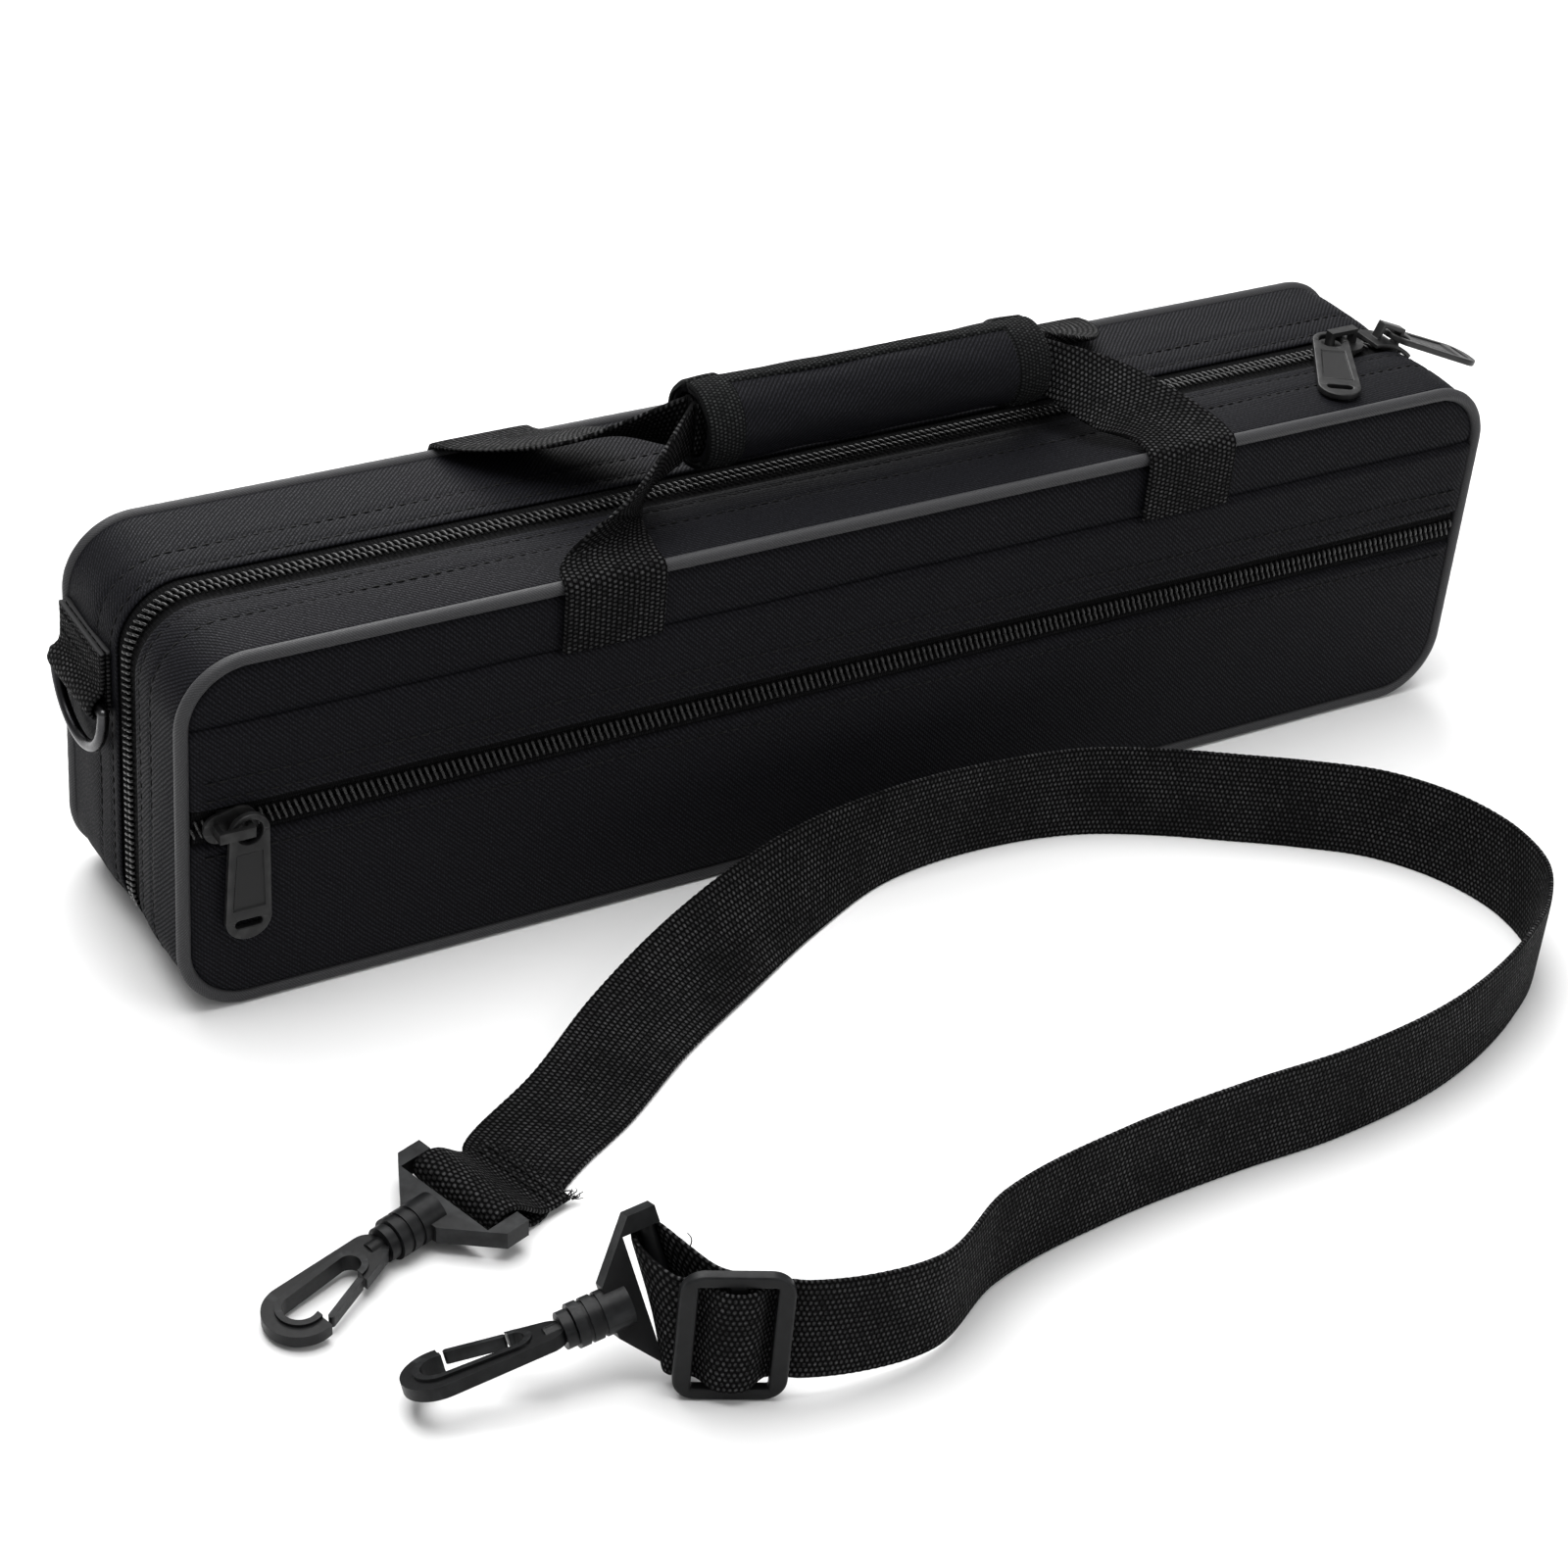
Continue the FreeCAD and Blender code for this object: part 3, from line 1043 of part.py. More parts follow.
def shoulder_strap():
    """The detachable strap as it lies in front of the case, with both of its snap hooks."""
    first = Placement(FIRST_BAR, Rotation(Vector(0, 0, 1), FIRST_HEADING)
                      * Rotation(Vector(0, 1, 0), FIRST_DIP))
    second = Placement(SECOND_BAR, Rotation(Vector(0, 0, 1), SECOND_HEADING)
                       * Rotation(Vector(0, 1, 0), SECOND_DIP)
                       * Rotation(Vector(1, 0, 0), SECOND_ROLL))
    for word, place, roll in (("left", first, 0), ("right", second, SECOND_HOOK_ROLL)):
        hook_base("hook_base_" + word, place)
        turned = place * Placement(Vector(), Rotation(Vector(1, 0, 0), roll))
        swivel_hook("swivel_hook_" + word, turned)
        hook_gate("hook_gate_" + word, turned)
    along = Rotation(Vector(0, 0, 1), ADJUSTER_HEADING) * Rotation(Vector(1, 0, 0), 90)
    strap_adjuster(Placement(ADJUSTER, along))

    # Each flat stretch of a bend stays clear of its bar
    bend_radius = value("(hook_bar / 2 + web_thick / 2) * bend_room")
    middles = [(middle, across * -1) for middle, across in turned_end(bend_radius)]
    middles += lying_run() + adjusted_end(bend_radius, second.Rotation)
    stations = []
    for index, (middle, across) in enumerate(middles):
        before = middles[max(index - 1, 0)][0]
        after = middles[min(index + 1, len(middles) - 1)][0]
        ahead = (after - before).normalize()
        through = across.cross(ahead).normalize()
        stations.append((middle, across * value("web_width / 2"), through * value("web_thick / 2")))
    keep(feature("shoulder_strap", ribbon(stations)))


pocket_front()
front_shell()
back_shell()
foam_bed()
main_zip()
zip_sliders()
carrying_handle()
ring_and_tab("left", -1)
ring_and_tab("right", 1)
shoulder_strap()
doc.recompute()

for item in doc.Objects:
    if "Invalid" in item.State or "Error" in item.State:
        raise RuntimeError("%s: %s" % (item.Name, item.State))
for item in KEPT:
    if item.Shape.isNull() or not item.Shape.isValid() or not item.Shape.Solids:
        raise RuntimeError("%s is not a valid solid" % item.Label)
os.makedirs("parts", exist_ok=True)
for item in KEPT:
    item.Shape.exportStep("parts/%s.step" % item.Label)
print(len(KEPT), "sub-parts")
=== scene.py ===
"""The looks of a soft zipped flute case: cloth, piping, zips, webbing, grip, strap and lining.
Metres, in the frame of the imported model: X along the case, Y from the pocket to the back, Z up."""
from math import acos, cos, pi, radians, sin

import bpy
import numpy as np
from mathutils import Matrix, Vector


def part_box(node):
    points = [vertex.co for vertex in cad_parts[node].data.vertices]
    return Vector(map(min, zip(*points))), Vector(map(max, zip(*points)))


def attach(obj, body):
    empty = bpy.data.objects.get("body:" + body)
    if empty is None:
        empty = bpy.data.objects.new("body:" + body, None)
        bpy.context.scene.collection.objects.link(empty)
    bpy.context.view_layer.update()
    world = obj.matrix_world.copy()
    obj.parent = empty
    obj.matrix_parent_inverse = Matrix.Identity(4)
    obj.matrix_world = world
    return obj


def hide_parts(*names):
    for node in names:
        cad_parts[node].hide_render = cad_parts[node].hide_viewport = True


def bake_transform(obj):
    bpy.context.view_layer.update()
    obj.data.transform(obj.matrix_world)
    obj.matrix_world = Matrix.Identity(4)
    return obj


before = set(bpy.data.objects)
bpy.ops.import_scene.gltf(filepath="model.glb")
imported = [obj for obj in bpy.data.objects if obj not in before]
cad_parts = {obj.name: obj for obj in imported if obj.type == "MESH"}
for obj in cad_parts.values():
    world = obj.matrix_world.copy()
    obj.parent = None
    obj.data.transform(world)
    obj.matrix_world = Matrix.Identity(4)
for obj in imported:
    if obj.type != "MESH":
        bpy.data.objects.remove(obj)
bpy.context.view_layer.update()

MM = 0.001
TURN = 2 * pi
UP = np.array((0.0, 0.0, 1.0))
FRONT, BACK = -1, 1
HALVES = ((FRONT, "front", "lid_half"), (BACK, "back", "back_half"))

# The case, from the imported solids
pipe_low, pipe_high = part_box("front_piping")
HALF_LENGTH, HEIGHT = pipe_high.x, pipe_high.z
HALF_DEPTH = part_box("back_piping")[1].y
PIPE = (pipe_high.y - pipe_low.y) / 2
CORNER = 20 * MM
CENTRE = np.array((0, 0, HEIGHT / 2))
ZIP_Y = -3 * MM
ZIP_END = 12 * MM
BAND = 1.0 * MM
FACE = HALF_DEPTH - 0.5 * MM
FACE_EDGE = 2 * PIPE
SEAM_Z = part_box("pocket_top_panel")[0].z
SLOT_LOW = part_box("pocket_lower_panel")[1].z
SLOT_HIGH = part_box("pocket_middle_panel")[0].z
POCKET_ZIP_Z = (SLOT_LOW + SLOT_HIGH) / 2
COIL_PITCH = 1.95 * MM
WEB_WIDTH, WEB_THICK = 30 * MM, 1.6 * MM
# A dash of thread: pitch, drawn share of it, radius
STITCH_PITCH, DASH_SHARE, THREAD = 3.5 * MM, 0.74, 0.27 * MM


# Meshes from arrays

def show(name, data):
    """A new object in the scene."""
    item = bpy.data.objects.new(name, data)
    bpy.context.scene.collection.objects.link(item)
    return item


def finish_mesh(name, verts, loops, starts, uvs):
    """A smooth mesh from vertices, corner indices, each face's first corner and corner UVs."""
    mesh = bpy.data.meshes.new(name)
    mesh.vertices.add(len(verts))
    mesh.vertices.foreach_set("co", np.asarray(verts, np.float32).ravel())
    mesh.loops.add(len(loops))
    mesh.loops.foreach_set("vertex_index", np.asarray(loops, np.int32))
    mesh.polygons.add(len(starts))
    mesh.polygons.foreach_set("loop_start", np.asarray(starts, np.int32))
    layer = mesh.uv_layers.new(name="cloth_way")
    layer.data.foreach_set("uv", np.asarray(uvs, np.float32).ravel())
    mesh.update(calc_edges=True)
    mesh.validate()
    mesh.polygons.foreach_set("use_smooth", [True] * len(mesh.polygons))
    return show(name, mesh)


def cells(grid):
    """The four corners of each cell of a grid."""
    return np.stack([grid[:-1, :-1], grid[1:, :-1], grid[1:, 1:], grid[:-1, 1:]], 2)


def quad_normals(verts, quads):
    a, b, c, d = verts[quads].transpose(1, 0, 2)
    return np.cross(c - a, d - b)


def turn_outwards(mesh):
    """Turns a closed mesh's faces outwards, by the sign of its volume."""
    mesh.calc_loop_triangles()
    tri = np.empty(len(mesh.loop_triangles) * 3, np.int32)
    mesh.loop_triangles.foreach_get("vertices", tri)
    co = np.empty(len(mesh.vertices) * 3, np.float32)
    mesh.vertices.foreach_get("co", co)
    a, b, c = co.reshape(-1, 3)[tri.reshape(-1, 3)].transpose(1, 0, 2).astype(float)
    if (a * np.cross(b, c)).sum() < 0:
        mesh.flip_normals()


def surface(name, points, uv, wrap_rows=False, wrap_columns=False, caps=False, toward=None):
    """A grid of points (rows by columns) as four-sided faces, closed round where it wraps. The
    faces look away from the case's middle, or at the point toward; a capped one's look out."""
    verts, columns = points.reshape(-1, 3), points.shape[1]
    index = np.arange(len(verts)).reshape(-1, columns)
    if wrap_rows:
        index = np.vstack([index, index[:1]])
        uv = np.concatenate([uv, 2 * uv[-1:] - uv[-2:-1]], 0)
    if wrap_columns:
        index = np.hstack([index, index[:, :1]])
        uv = np.concatenate([uv, 2 * uv[:, -1:] - uv[:, -2:-1]], 1)
    quads = cells(index).reshape(-1, 4)
    first = verts[quads[:, 0]]
    aim = first - CENTRE if toward is None else np.array(toward) - first
    way = -1 if (quad_normals(verts, quads) * aim).sum() < 0 else 1
    loops = quads[:, ::way].ravel()
    uvs = cells(uv).reshape(-1, 4, 2)[:, ::way].reshape(-1, 2)
    starts = np.arange(len(quads)) * 4
    for end in (index[0, :columns], index[-1, :columns][::-1]) if caps else ():
        starts = np.append(starts, len(loops))
        loops = np.append(loops, end[::way])
        uvs = np.concatenate([uvs, np.repeat(uv[:1, 0], len(end), 0)])
    item = finish_mesh(name, verts, loops, starts, uvs)
    if caps:
        turn_outwards(item.data)
    return item


def copies(name, template, origins, axes):
    """One small tube, given as rings of points, at each origin, turned by each set of axes.
    A copy's point is origin + x * first axis + y * second axis + z * third axis."""
    flat, sides = template.reshape(-1, 3), template.shape[1]
    verts = origins[:, None] + np.einsum("pi,kij->kpj", flat, axes)
    index = np.arange(len(flat)).reshape(-1, sides)
    quads = cells(np.hstack([index, index[:, :1]])).reshape(-1, 4)
    outside = (quad_normals(flat, quads) * (flat[quads[:, 0]] - flat.mean(0))).sum()
    way = 1 if outside * np.linalg.det(axes[0]) > 0 else -1
    one = np.concatenate([quads[:, ::way].ravel(), index[0][::way], index[-1][::-way]])
    one_starts = np.append(np.arange(len(quads)) * 4, [quads.size, quads.size + sides])
    copy = np.arange(len(origins))[:, None]
    loops, starts = (one + copy * len(flat)).ravel(), (one_starts + copy * len(one)).ravel()
    return finish_mesh(name, verts.reshape(-1, 3), loops, starts, np.zeros((len(loops), 2)))


def joined(name, items):
    """Several objects as one."""
    first = items[0]
    if len(items) > 1:
        with bpy.context.temp_override(active_object=first, selected_editable_objects=items):
            bpy.ops.object.join()
    first.name = first.data.name = name
    return first


def dress(item, look):
    item.data.materials.clear()
    item.data.materials.append(look)


def place(item, body, look, slot, *nodes):
    """Gives a piece its material and body, and hides the solids that it stands for. The slot is not used."""
    dress(item, look)
    if body:
        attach(item, body)
    if nodes:
        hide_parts(*nodes)
    return item


# Shapes that the pieces share

def spread(*parts):
    """Numbers and arrays as the last axis of one array."""
    return np.stack(np.broadcast_arrays(*parts), -1)


def unit(rows):
    return rows / np.linalg.norm(rows, axis=-1, keepdims=True)


def walked(line):
    """The distance along a line at each of its points."""
    return np.r_[0, np.linalg.norm(np.diff(line, axis=0), axis=1).cumsum()]


def rows_at(where, walk, rows):
    """Rows of values between those known at the distances of walk."""
    return np.stack([np.interp(where, walk, column) for column in rows.T], -1)


def level(angle):
    """The level direction at an angle in degrees."""
    return np.array((cos(radians(angle)), sin(radians(angle)), 0.0))


def circle(sides):
    """The angles of a ring of points."""
    return np.linspace(0, TURN, sides, endpoint=False)


def wave(values, length):
    return np.sin(TURN * values / length)


def ripple(along, across, seed, height):
    """Slow unevenness: a sum of six sine waves in two directions with seeded lengths and phases."""
    rng = np.random.default_rng(seed)
    total = 0
    for _ in range(6):
        long_way = rng.uniform(28, 95) * MM
        cross_way = rng.uniform(12, 45) * MM * rng.choice((-1, 1))
        total = total + np.sin(TURN * (along / long_way + across / cross_way) + rng.uniform(0, TURN))
    return total * height / 6


def ramp(distance, width):
    """From 0 to 1 over a width in millimetres."""
    return np.clip(distance / (width * MM), 0, 1)


def stitch_dent(distance, along):
    """How far a row of stitches pulls the cloth in: a Gauss bell across the row, deeper at each
    stitch's ends."""
    return np.exp(-(distance / (0.95 * MM)) ** 2) * (0.7 + 0.3 * np.cos(TURN * along / STITCH_PITCH))


def outline(along, inset):
    """A point and the outward normal at a distance round the case's outline, from the bottom's
    middle to the right end, over the top and back. A quarter circle turns the normal, and its
    centre stands still meanwhile; the point is centre + (corner radius - inset) * normal."""
    run, rise = HALF_LENGTH - CORNER, HEIGHT - 2 * CORNER
    quarter, low, high = CORNER * pi / 2, CORNER, HEIGHT - CORNER
    steps = np.cumsum([0, run, quarter, rise, quarter, 2 * run, quarter, rise, quarter, run])
    angle = np.radians(np.interp(along, steps, (-90, -90, 0, 0, 90, 90, 180, 180, 270, 270)))
    centre_x = np.interp(along, steps, (0, run, run, run, run, -run, -run, -run, -run, 0))
    centre_z = np.interp(along, steps, (low, low, low, high, high, high, high, low, low, low))
    normal = spread(np.cos(angle), 0, np.sin(angle))
    return spread(centre_x, 0, centre_z) + normal * np.asarray(CORNER - inset)[..., None], normal


ROUND = 4 * (HALF_LENGTH - CORNER) + 2 * (HEIGHT - 2 * CORNER) + TURN * CORNER
# Distances round the outline at which the zip starts and stops, both at the height ZIP_END
ZIP_START = HALF_LENGTH - CORNER + CORNER * acos(1 - ZIP_END / CORNER)
ZIP_STOP = ROUND - ZIP_START


def band_points(along, depth, inset):
    """Points of a band that follows the outline: along is a column, depth (Y) and inset rows."""
    along, depth, inset = np.broadcast_arrays(along, depth, inset)
    point = outline(np.mod(along, ROUND), inset)[0]
    point[..., 1] = depth
    return point


def band(name, start, stop, step, depth, inset, solid=False):
    """A strip round the outline with a constant section, given as depths and insets."""
    along = np.linspace(start, stop, round((stop - start) / step) + 1)[:, None]
    depth, inset = np.asarray(depth) * MM, np.asarray(inset) * MM
    uv = spread(along, walked(spread(depth, inset)))
    return surface(name, band_points(along, depth, inset), uv, wrap_columns=solid, caps=solid)


def face_grid(inset, step, low=0.0, high=HEIGHT):
    """X and Z of a grid over a face between two heights, whose rows run from one side of the
    outline to the other and which crowds towards the edges by a share of a cosine. The third
    result is each point's distance to the outline, a box with round corners: from its corner box
    and a circle."""
    low, high = max(low, inset), min(high, HEIGHT - inset)
    radius = CORNER - inset
    rows, columns = max(int((high - low) / step), 8), int(2 * HALF_LENGTH / step)
    up, along = np.linspace(0, 1, rows + 1), np.linspace(0, 1, columns + 1)
    z = low + (high - low) * (0.35 * (1 - np.cos(pi * up)) / 2 + 0.65 * up)
    drop = np.maximum(inset + radius - z, z - (HEIGHT - inset - radius))
    half = HALF_LENGTH - inset - radius * (1 - np.sqrt(1 - np.clip(drop / radius, 0, 1) ** 2))
    across = 2 * (0.25 * (1 - np.cos(pi * along)) / 2 + 0.75 * along) - 1
    x, z = np.broadcast_arrays(half[:, None] * across, z[:, None])
    reach_x = np.abs(x) - (HALF_LENGTH - inset - radius)
    reach_z = np.abs(z - HEIGHT / 2) - (HEIGHT / 2 - inset - radius)
    outside = np.hypot(np.maximum(reach_x, 0), np.maximum(reach_z, 0))
    return x, z, radius - outside - np.minimum(np.maximum(reach_x, reach_z), 0)


def smooth_line(values, count):
    """A smooth curve through rows of values: cubic Hermite spans whose slopes are half the
    difference of the neighbours, sampled at equal shares of the chord length."""
    values = np.asarray(values, float)
    chord = walked(values[:, :3])
    slope = np.gradient(values, chord, axis=0)
    where = np.linspace(0, chord[-1], count)
    span = np.clip(np.searchsorted(chord, where, side="right") - 1, 0, len(chord) - 2)
    width = (chord[span + 1] - chord[span])[:, None]
    t = (where - chord[span])[:, None] / width
    a, b, ma, mb = values[span], values[span + 1], slope[span] * width, slope[span + 1] * width
    return ((2 * t ** 3 - 3 * t ** 2 + 1) * a + (t ** 3 - 2 * t ** 2 + t) * ma
            + (3 * t ** 2 - 2 * t ** 3) * b + (t ** 3 - t ** 2) * mb)


def webbing(name, body, node, stations, count, thick=WEB_THICK):
    """Flat woven webbing through stations of middle, half width and surface normal: a section of
    a squared circle (cosine and sine to small powers) carried along the smooth line. Gives the
    piece and its length."""
    line = smooth_line([np.r_[station] for station in stations], count)
    middle, half, normal = line[:, :3], line[:, 3:6], unit(line[:, 6:9])
    ahead = unit(np.gradient(middle, axis=0))
    normal = unit(normal - ahead * (normal * ahead).sum(1, keepdims=True))
    angle = circle(28) + TURN / 56
    across = np.sign(np.cos(angle)) * np.abs(np.cos(angle)) ** 0.22
    through = np.sign(np.sin(angle)) * np.abs(np.sin(angle)) ** 0.45 * thick / 2
    walk = walked(middle)[:, None]
    selvedge = 1 + 0.006 * wave(walk, 2.1 * MM) * np.abs(across) ** 8
    points = (middle[:, None] + half[:, None] * (across * selvedge)[..., None]
              + normal[:, None] * through[:, None])
    uv = spread(across * np.linalg.norm(half, axis=1)[:, None], walk)
    item = surface(name, points, uv, wrap_columns=True, caps=True)
    return place(item, body, web_cloth, "webbing", node), walk[-1, 0]


def stitches(line, normal, pitch=STITCH_PITCH):
    """A row of thread dashes along a line of points: each is a short tube whose ends dip in."""
    walk = walked(line)
    middles = np.arange(pitch / 2, walk[-1], pitch)
    up = unit(rows_at(middles, walk, np.broadcast_to(normal, line.shape)))
    ahead = unit(rows_at(middles + 1e-4, walk, line) - rows_at(middles - 1e-4, walk, line))
    share = np.linspace(-1, 1, 7)[:, None]
    around = circle(6)
    girth = THREAD * (0.35 + 0.65 * np.sqrt(1 - share ** 2))
    dip = 0.45 * THREAD * (1 - 2.2 * share ** 2)
    dash = spread(share * pitch * DASH_SHARE / 2, np.cos(around) * girth * 1.25,
                  np.sin(around) * girth + dip)
    axes = np.stack([ahead, np.cross(up, ahead), up], 1)
    return copies("dashes", dash, rows_at(middles, walk, line), axes)


def sewn(name, body, slot, rows):
    """Rows of stitches as one piece."""
    place(joined(name + "_stitches", rows), body, thread_black, slot)


# Nodes

def adjust(made, **settings):
    """Sets properties by name."""
    for key, setting in settings.items():
        setattr(made, key, setting)
    return made


def feed(target, inputs):
    """Gives a node its inputs: a socket is linked, anything else is set as a constant."""
    for label, source in inputs.items():
        if isinstance(source, bpy.types.NodeSocket):
            target.id_data.links.new(source, target.inputs[label])
        else:
            target.inputs[label].default_value = source


def add_node(tree, kind, inputs, output=0, **settings):
    """A new node with its settings and inputs; gives one of its outputs."""
    made = adjust(tree.nodes.new(kind), **settings)
    feed(made, inputs)
    return made.outputs[output]


def calc(operation, first, second=0.0):
    return add_node(first.id_data, "ShaderNodeMath", {0: first, 1: second}, operation=operation)


def times(first, second):
    return calc("MULTIPLY", first, second)


def plus(first, second):
    return calc("ADD", first, second)


def arches(value, share):
    """A row of half sine waves, one to each 1 / share of the value."""
    return calc("ABSOLUTE", calc("SINE", times(value, share * pi)))


def noise(vector, scale, detail=2.0, rough=0.5):
    inputs = {"Vector": vector, "Scale": scale, "Detail": detail, "Roughness": rough}
    return add_node(vector.id_data, "ShaderNodeTexNoise", inputs, "Fac")


def remap(value, low, high, new_low=0.0, new_high=1.0):
    inputs = {"Value": value, "From Min": low, "From Max": high, "To Min": new_low, "To Max": new_high}
    return add_node(value.id_data, "ShaderNodeMapRange", inputs, "Result")


def blend(factor, first, second):
    """A colour between two colours."""
    first, second = ((*c, 1) if isinstance(c, tuple) else c for c in (first, second))
    inputs = {"Factor": factor, "A": first, "B": second}
    return add_node(factor.id_data, "ShaderNodeMix", inputs, "Result", data_type="RGBA")


def x_and_y(vector):
    parts = add_node(vector.id_data, "ShaderNodeSeparateXYZ", {0: vector}).node
    return parts.outputs[0], parts.outputs[1]


def new_group(build, numbers, results):
    """A shader node group: build gets its vector and numbers and returns the sockets it gives."""
    group = bpy.data.node_groups.new(build.__name__, "ShaderNodeTree")
    group.interface.new_socket("Vector", in_out="INPUT", socket_type="NodeSocketVector")
    for label, default in numbers.items():
        socket = group.interface.new_socket(label, in_out="INPUT", socket_type="NodeSocketFloat")
        socket.default_value = default
    for label in results:
        group.interface.new_socket(label, in_out="OUTPUT", socket_type="NodeSocketFloat")
    start, end = group.nodes.new("NodeGroupInput"), group.nodes.new("NodeGroupOutput")
    sources = build(*[start.outputs[label] for label in ("Vector", *numbers)])
    feed(end, dict(zip(results, sources)))
    return group


def twill(vector, pitch):
    """Fine diagonal ribs with threads across them, as height and a mask that lays a painted highlight
    on the raised threads, varied by slub tone. The vector of each pattern is a place on the surface in
    metres."""
    scaled = add_node(vector.id_data, "ShaderNodeVectorMath", {0: vector, 1: pitch}, operation="DIVIDE")
    x, y = x_and_y(scaled)
    rib = arches(plus(plus(x, y), times(noise(scaled, 0.12), 1.2)), 1)
    slub = noise(scaled, 2.1, 3)
    height = plus(times(rib, remap(arches(x, 2), 0, 1, 0.6, 1)), times(slub, 0.35))
    # The second result is a painted highlight on the raised threads, dimmed where the slub's tone is low
    return height, times(remap(height, 0.5, 1.1), remap(slub, 0.35, 0.65, 0.3, 1))


def basket_weave(vector, across, along):
    """Webbing: yarns over and under in a checker, each a rounded bump with three strands; the second result
    is a painted highlight on the bumps' tops, broken up by strand and yarn tone.
    """
    x, y = x_and_y(vector)
    x, y = calc("DIVIDE", x, across), plus(calc("DIVIDE", y, along), times(noise(vector, 160), 0.35))
    shifted = plus(y, calc("FRACT", times(calc("FLOOR", x), 0.5)))
    across_bump = calc("SINE", times(calc("FRACT", x), pi))
    along_bump = calc("SINE", times(calc("FRACT", shifted), pi))
    bump = times(calc("POWER", across_bump, 0.6), calc("POWER", along_bump, 0.8))
    height = plus(bump, times(times(arches(x, 3), bump), 0.3))
    # Painted highlight on the raised yarns, broken up by fine strand noise and then by broader yarn tone
    thread = times(remap(height, 0.6, 1.15), remap(noise(vector, 900), 0.35, 0.7, 0.15, 1))
    return height, times(thread, remap(noise(vector, 55, 3), 0.3, 0.7, 0.5, 1.2))


def dust(vector, amount):
    """Pale lint and rubbed places: a mask of small flecks and a mask of broad soft patches."""
    fleck = remap(noise(vector, 620, 4, 0.7), 0.70, 0.80)
    return times(fleck, amount), times(remap(noise(vector, 14, 3, 0.55), 0.35, 0.7), amount)


def edge_wear(vector, grain):
    """A mask of sharp outer edges from the mesh's pointiness, broken up by noise, and a grain."""
    point = add_node(vector.id_data, "ShaderNodeNewGeometry", {}, "Pointiness")
    broken = remap(noise(vector, 260, 3), 0.35, 0.65, 0.2, 1)
    return times(remap(point, 0.505, 0.56), broken), noise(vector, grain, 3)


# Each weave's second output is a painted highlight on the raised threads, varied by yarn tone
PATTERN = ("Height", "Highlight_And_Yarn_Tone")
TWILL = new_group(twill, {"Pitch": 0.001}, PATTERN)
BASKET = new_group(basket_weave, {"Across": 0.0021, "Along": 0.0016}, PATTERN)
DUST = new_group(dust, {"Amount": 0.5}, ("Fleck", "Patch"))
WEAR = new_group(edge_wear, {"Grain": 900.0}, ("Edge", "Grain"))


# Materials

LINT = (0.10, 0.10, 0.105)
PATCH_LIGHTER, CLOUD_LIGHTER = 1.5, 1.35


def new_material(name):
    """A material, its node tree and the piece's own coordinates in it."""
    made = bpy.data.materials.new(name)
    made.use_nodes = True
    return made, made.node_tree, add_node(made.node_tree, "ShaderNodeTexCoord", {}, "Object")


def group_outputs(tree, group, **inputs):
    """The two outputs of a node group in a tree."""
    made = add_node(tree, "ShaderNodeGroup", {}, node_tree=group).node
    feed(made, inputs)
    return made.outputs


def finish_material(made, height, bump, inputs):
    """Feeds the shader: the inputs as given, and the normal from a height by strength and depth."""
    relief = {"Height": height, "Strength": bump[0], "Distance": bump[1]}
    normal = add_node(made.node_tree, "ShaderNodeBump", relief, "Normal")
    feed(made.node_tree.nodes["Principled BSDF"], {**inputs, "Normal": normal})
    return made


def lighter(colour, factor):
    return tuple(factor * part for part in colour)


def cloth_material(name, group, settings, low, high, rough, shine, bump, by_uv=True, **inputs):
    """Cloth: the pattern's mask runs from the low colour, gloss and roughness to the high ones, so the
    high colour is a painted highlight on the raised threads; rubbed patches are lighter, and lint lies on
    top."""
    made, tree, own = new_material(name)
    vector = add_node(tree, "ShaderNodeUVMap", {}, "UV", uv_map="cloth_way") if by_uv else own
    height, mask = group_outputs(tree, group, Vector=vector, **settings)
    fleck, patch = group_outputs(tree, DUST, Vector=own, Amount=0.5)
    # The high colour is a painted highlight on the raised threads; the lighter patches are rubbed wear
    woven = blend(mask, blend(patch, low, lighter(low, PATCH_LIGHTER)), high)
    return finish_material(made, height, bump, {
        "Base Color": blend(fleck, woven, LINT), "Roughness": remap(mask, 0, 1, *rough),
        "Specular IOR Level": remap(mask, 0, 1, *shine), **inputs})


def worn_material(name, base, edge, rough, bump, grain, inputs):
    """A hard material: fine grain all over, faint clouds and a lighter colour on worn edges."""
    made, tree, own = new_material(name)
    worn, fine = group_outputs(tree, WEAR, Vector=own, Grain=grain)
    cloudy = remap(noise(own, 130, 3), 0.3, 0.7)
    body = blend(cloudy, base, lighter(base, CLOUD_LIGHTER))
    return finish_material(made, fine, bump, {
        "Base Color": blend(worn, body, edge), "Roughness": remap(fine, 0.3, 0.7, *rough), **inputs})


def gloss(number):
    return {"Specular IOR Level": number}


# Each cloth: weave, its settings, the yarn's colour, the lighter colour of a painted highlight on its raised
# threads, roughness, gloss and bump
cloth = cloth_material(
    "case_cloth", TWILL, {"Pitch": 0.0015}, (0.003, 0.003, 0.0037), (0.0099, 0.0101, 0.0137),
    (0.72, 0.52), (0.05, 0.115), (0.5, 0.00022))
piping_cloth = cloth_material(
    "piping_cloth", TWILL, {"Pitch": 0.0009}, (0.024, 0.024, 0.0255), (0.048, 0.048, 0.051),
    (0.6, 0.42), (0.2, 0.35), (0.25, 0.00015))
web_cloth = cloth_material(
    "webbing", BASKET, {"Across": 0.0016, "Along": 0.0013}, (0.0025, 0.0025, 0.0026),
    (0.075, 0.075, 0.077), (0.75, 0.4), (0.03, 0.2), (0.9, 0.0005))
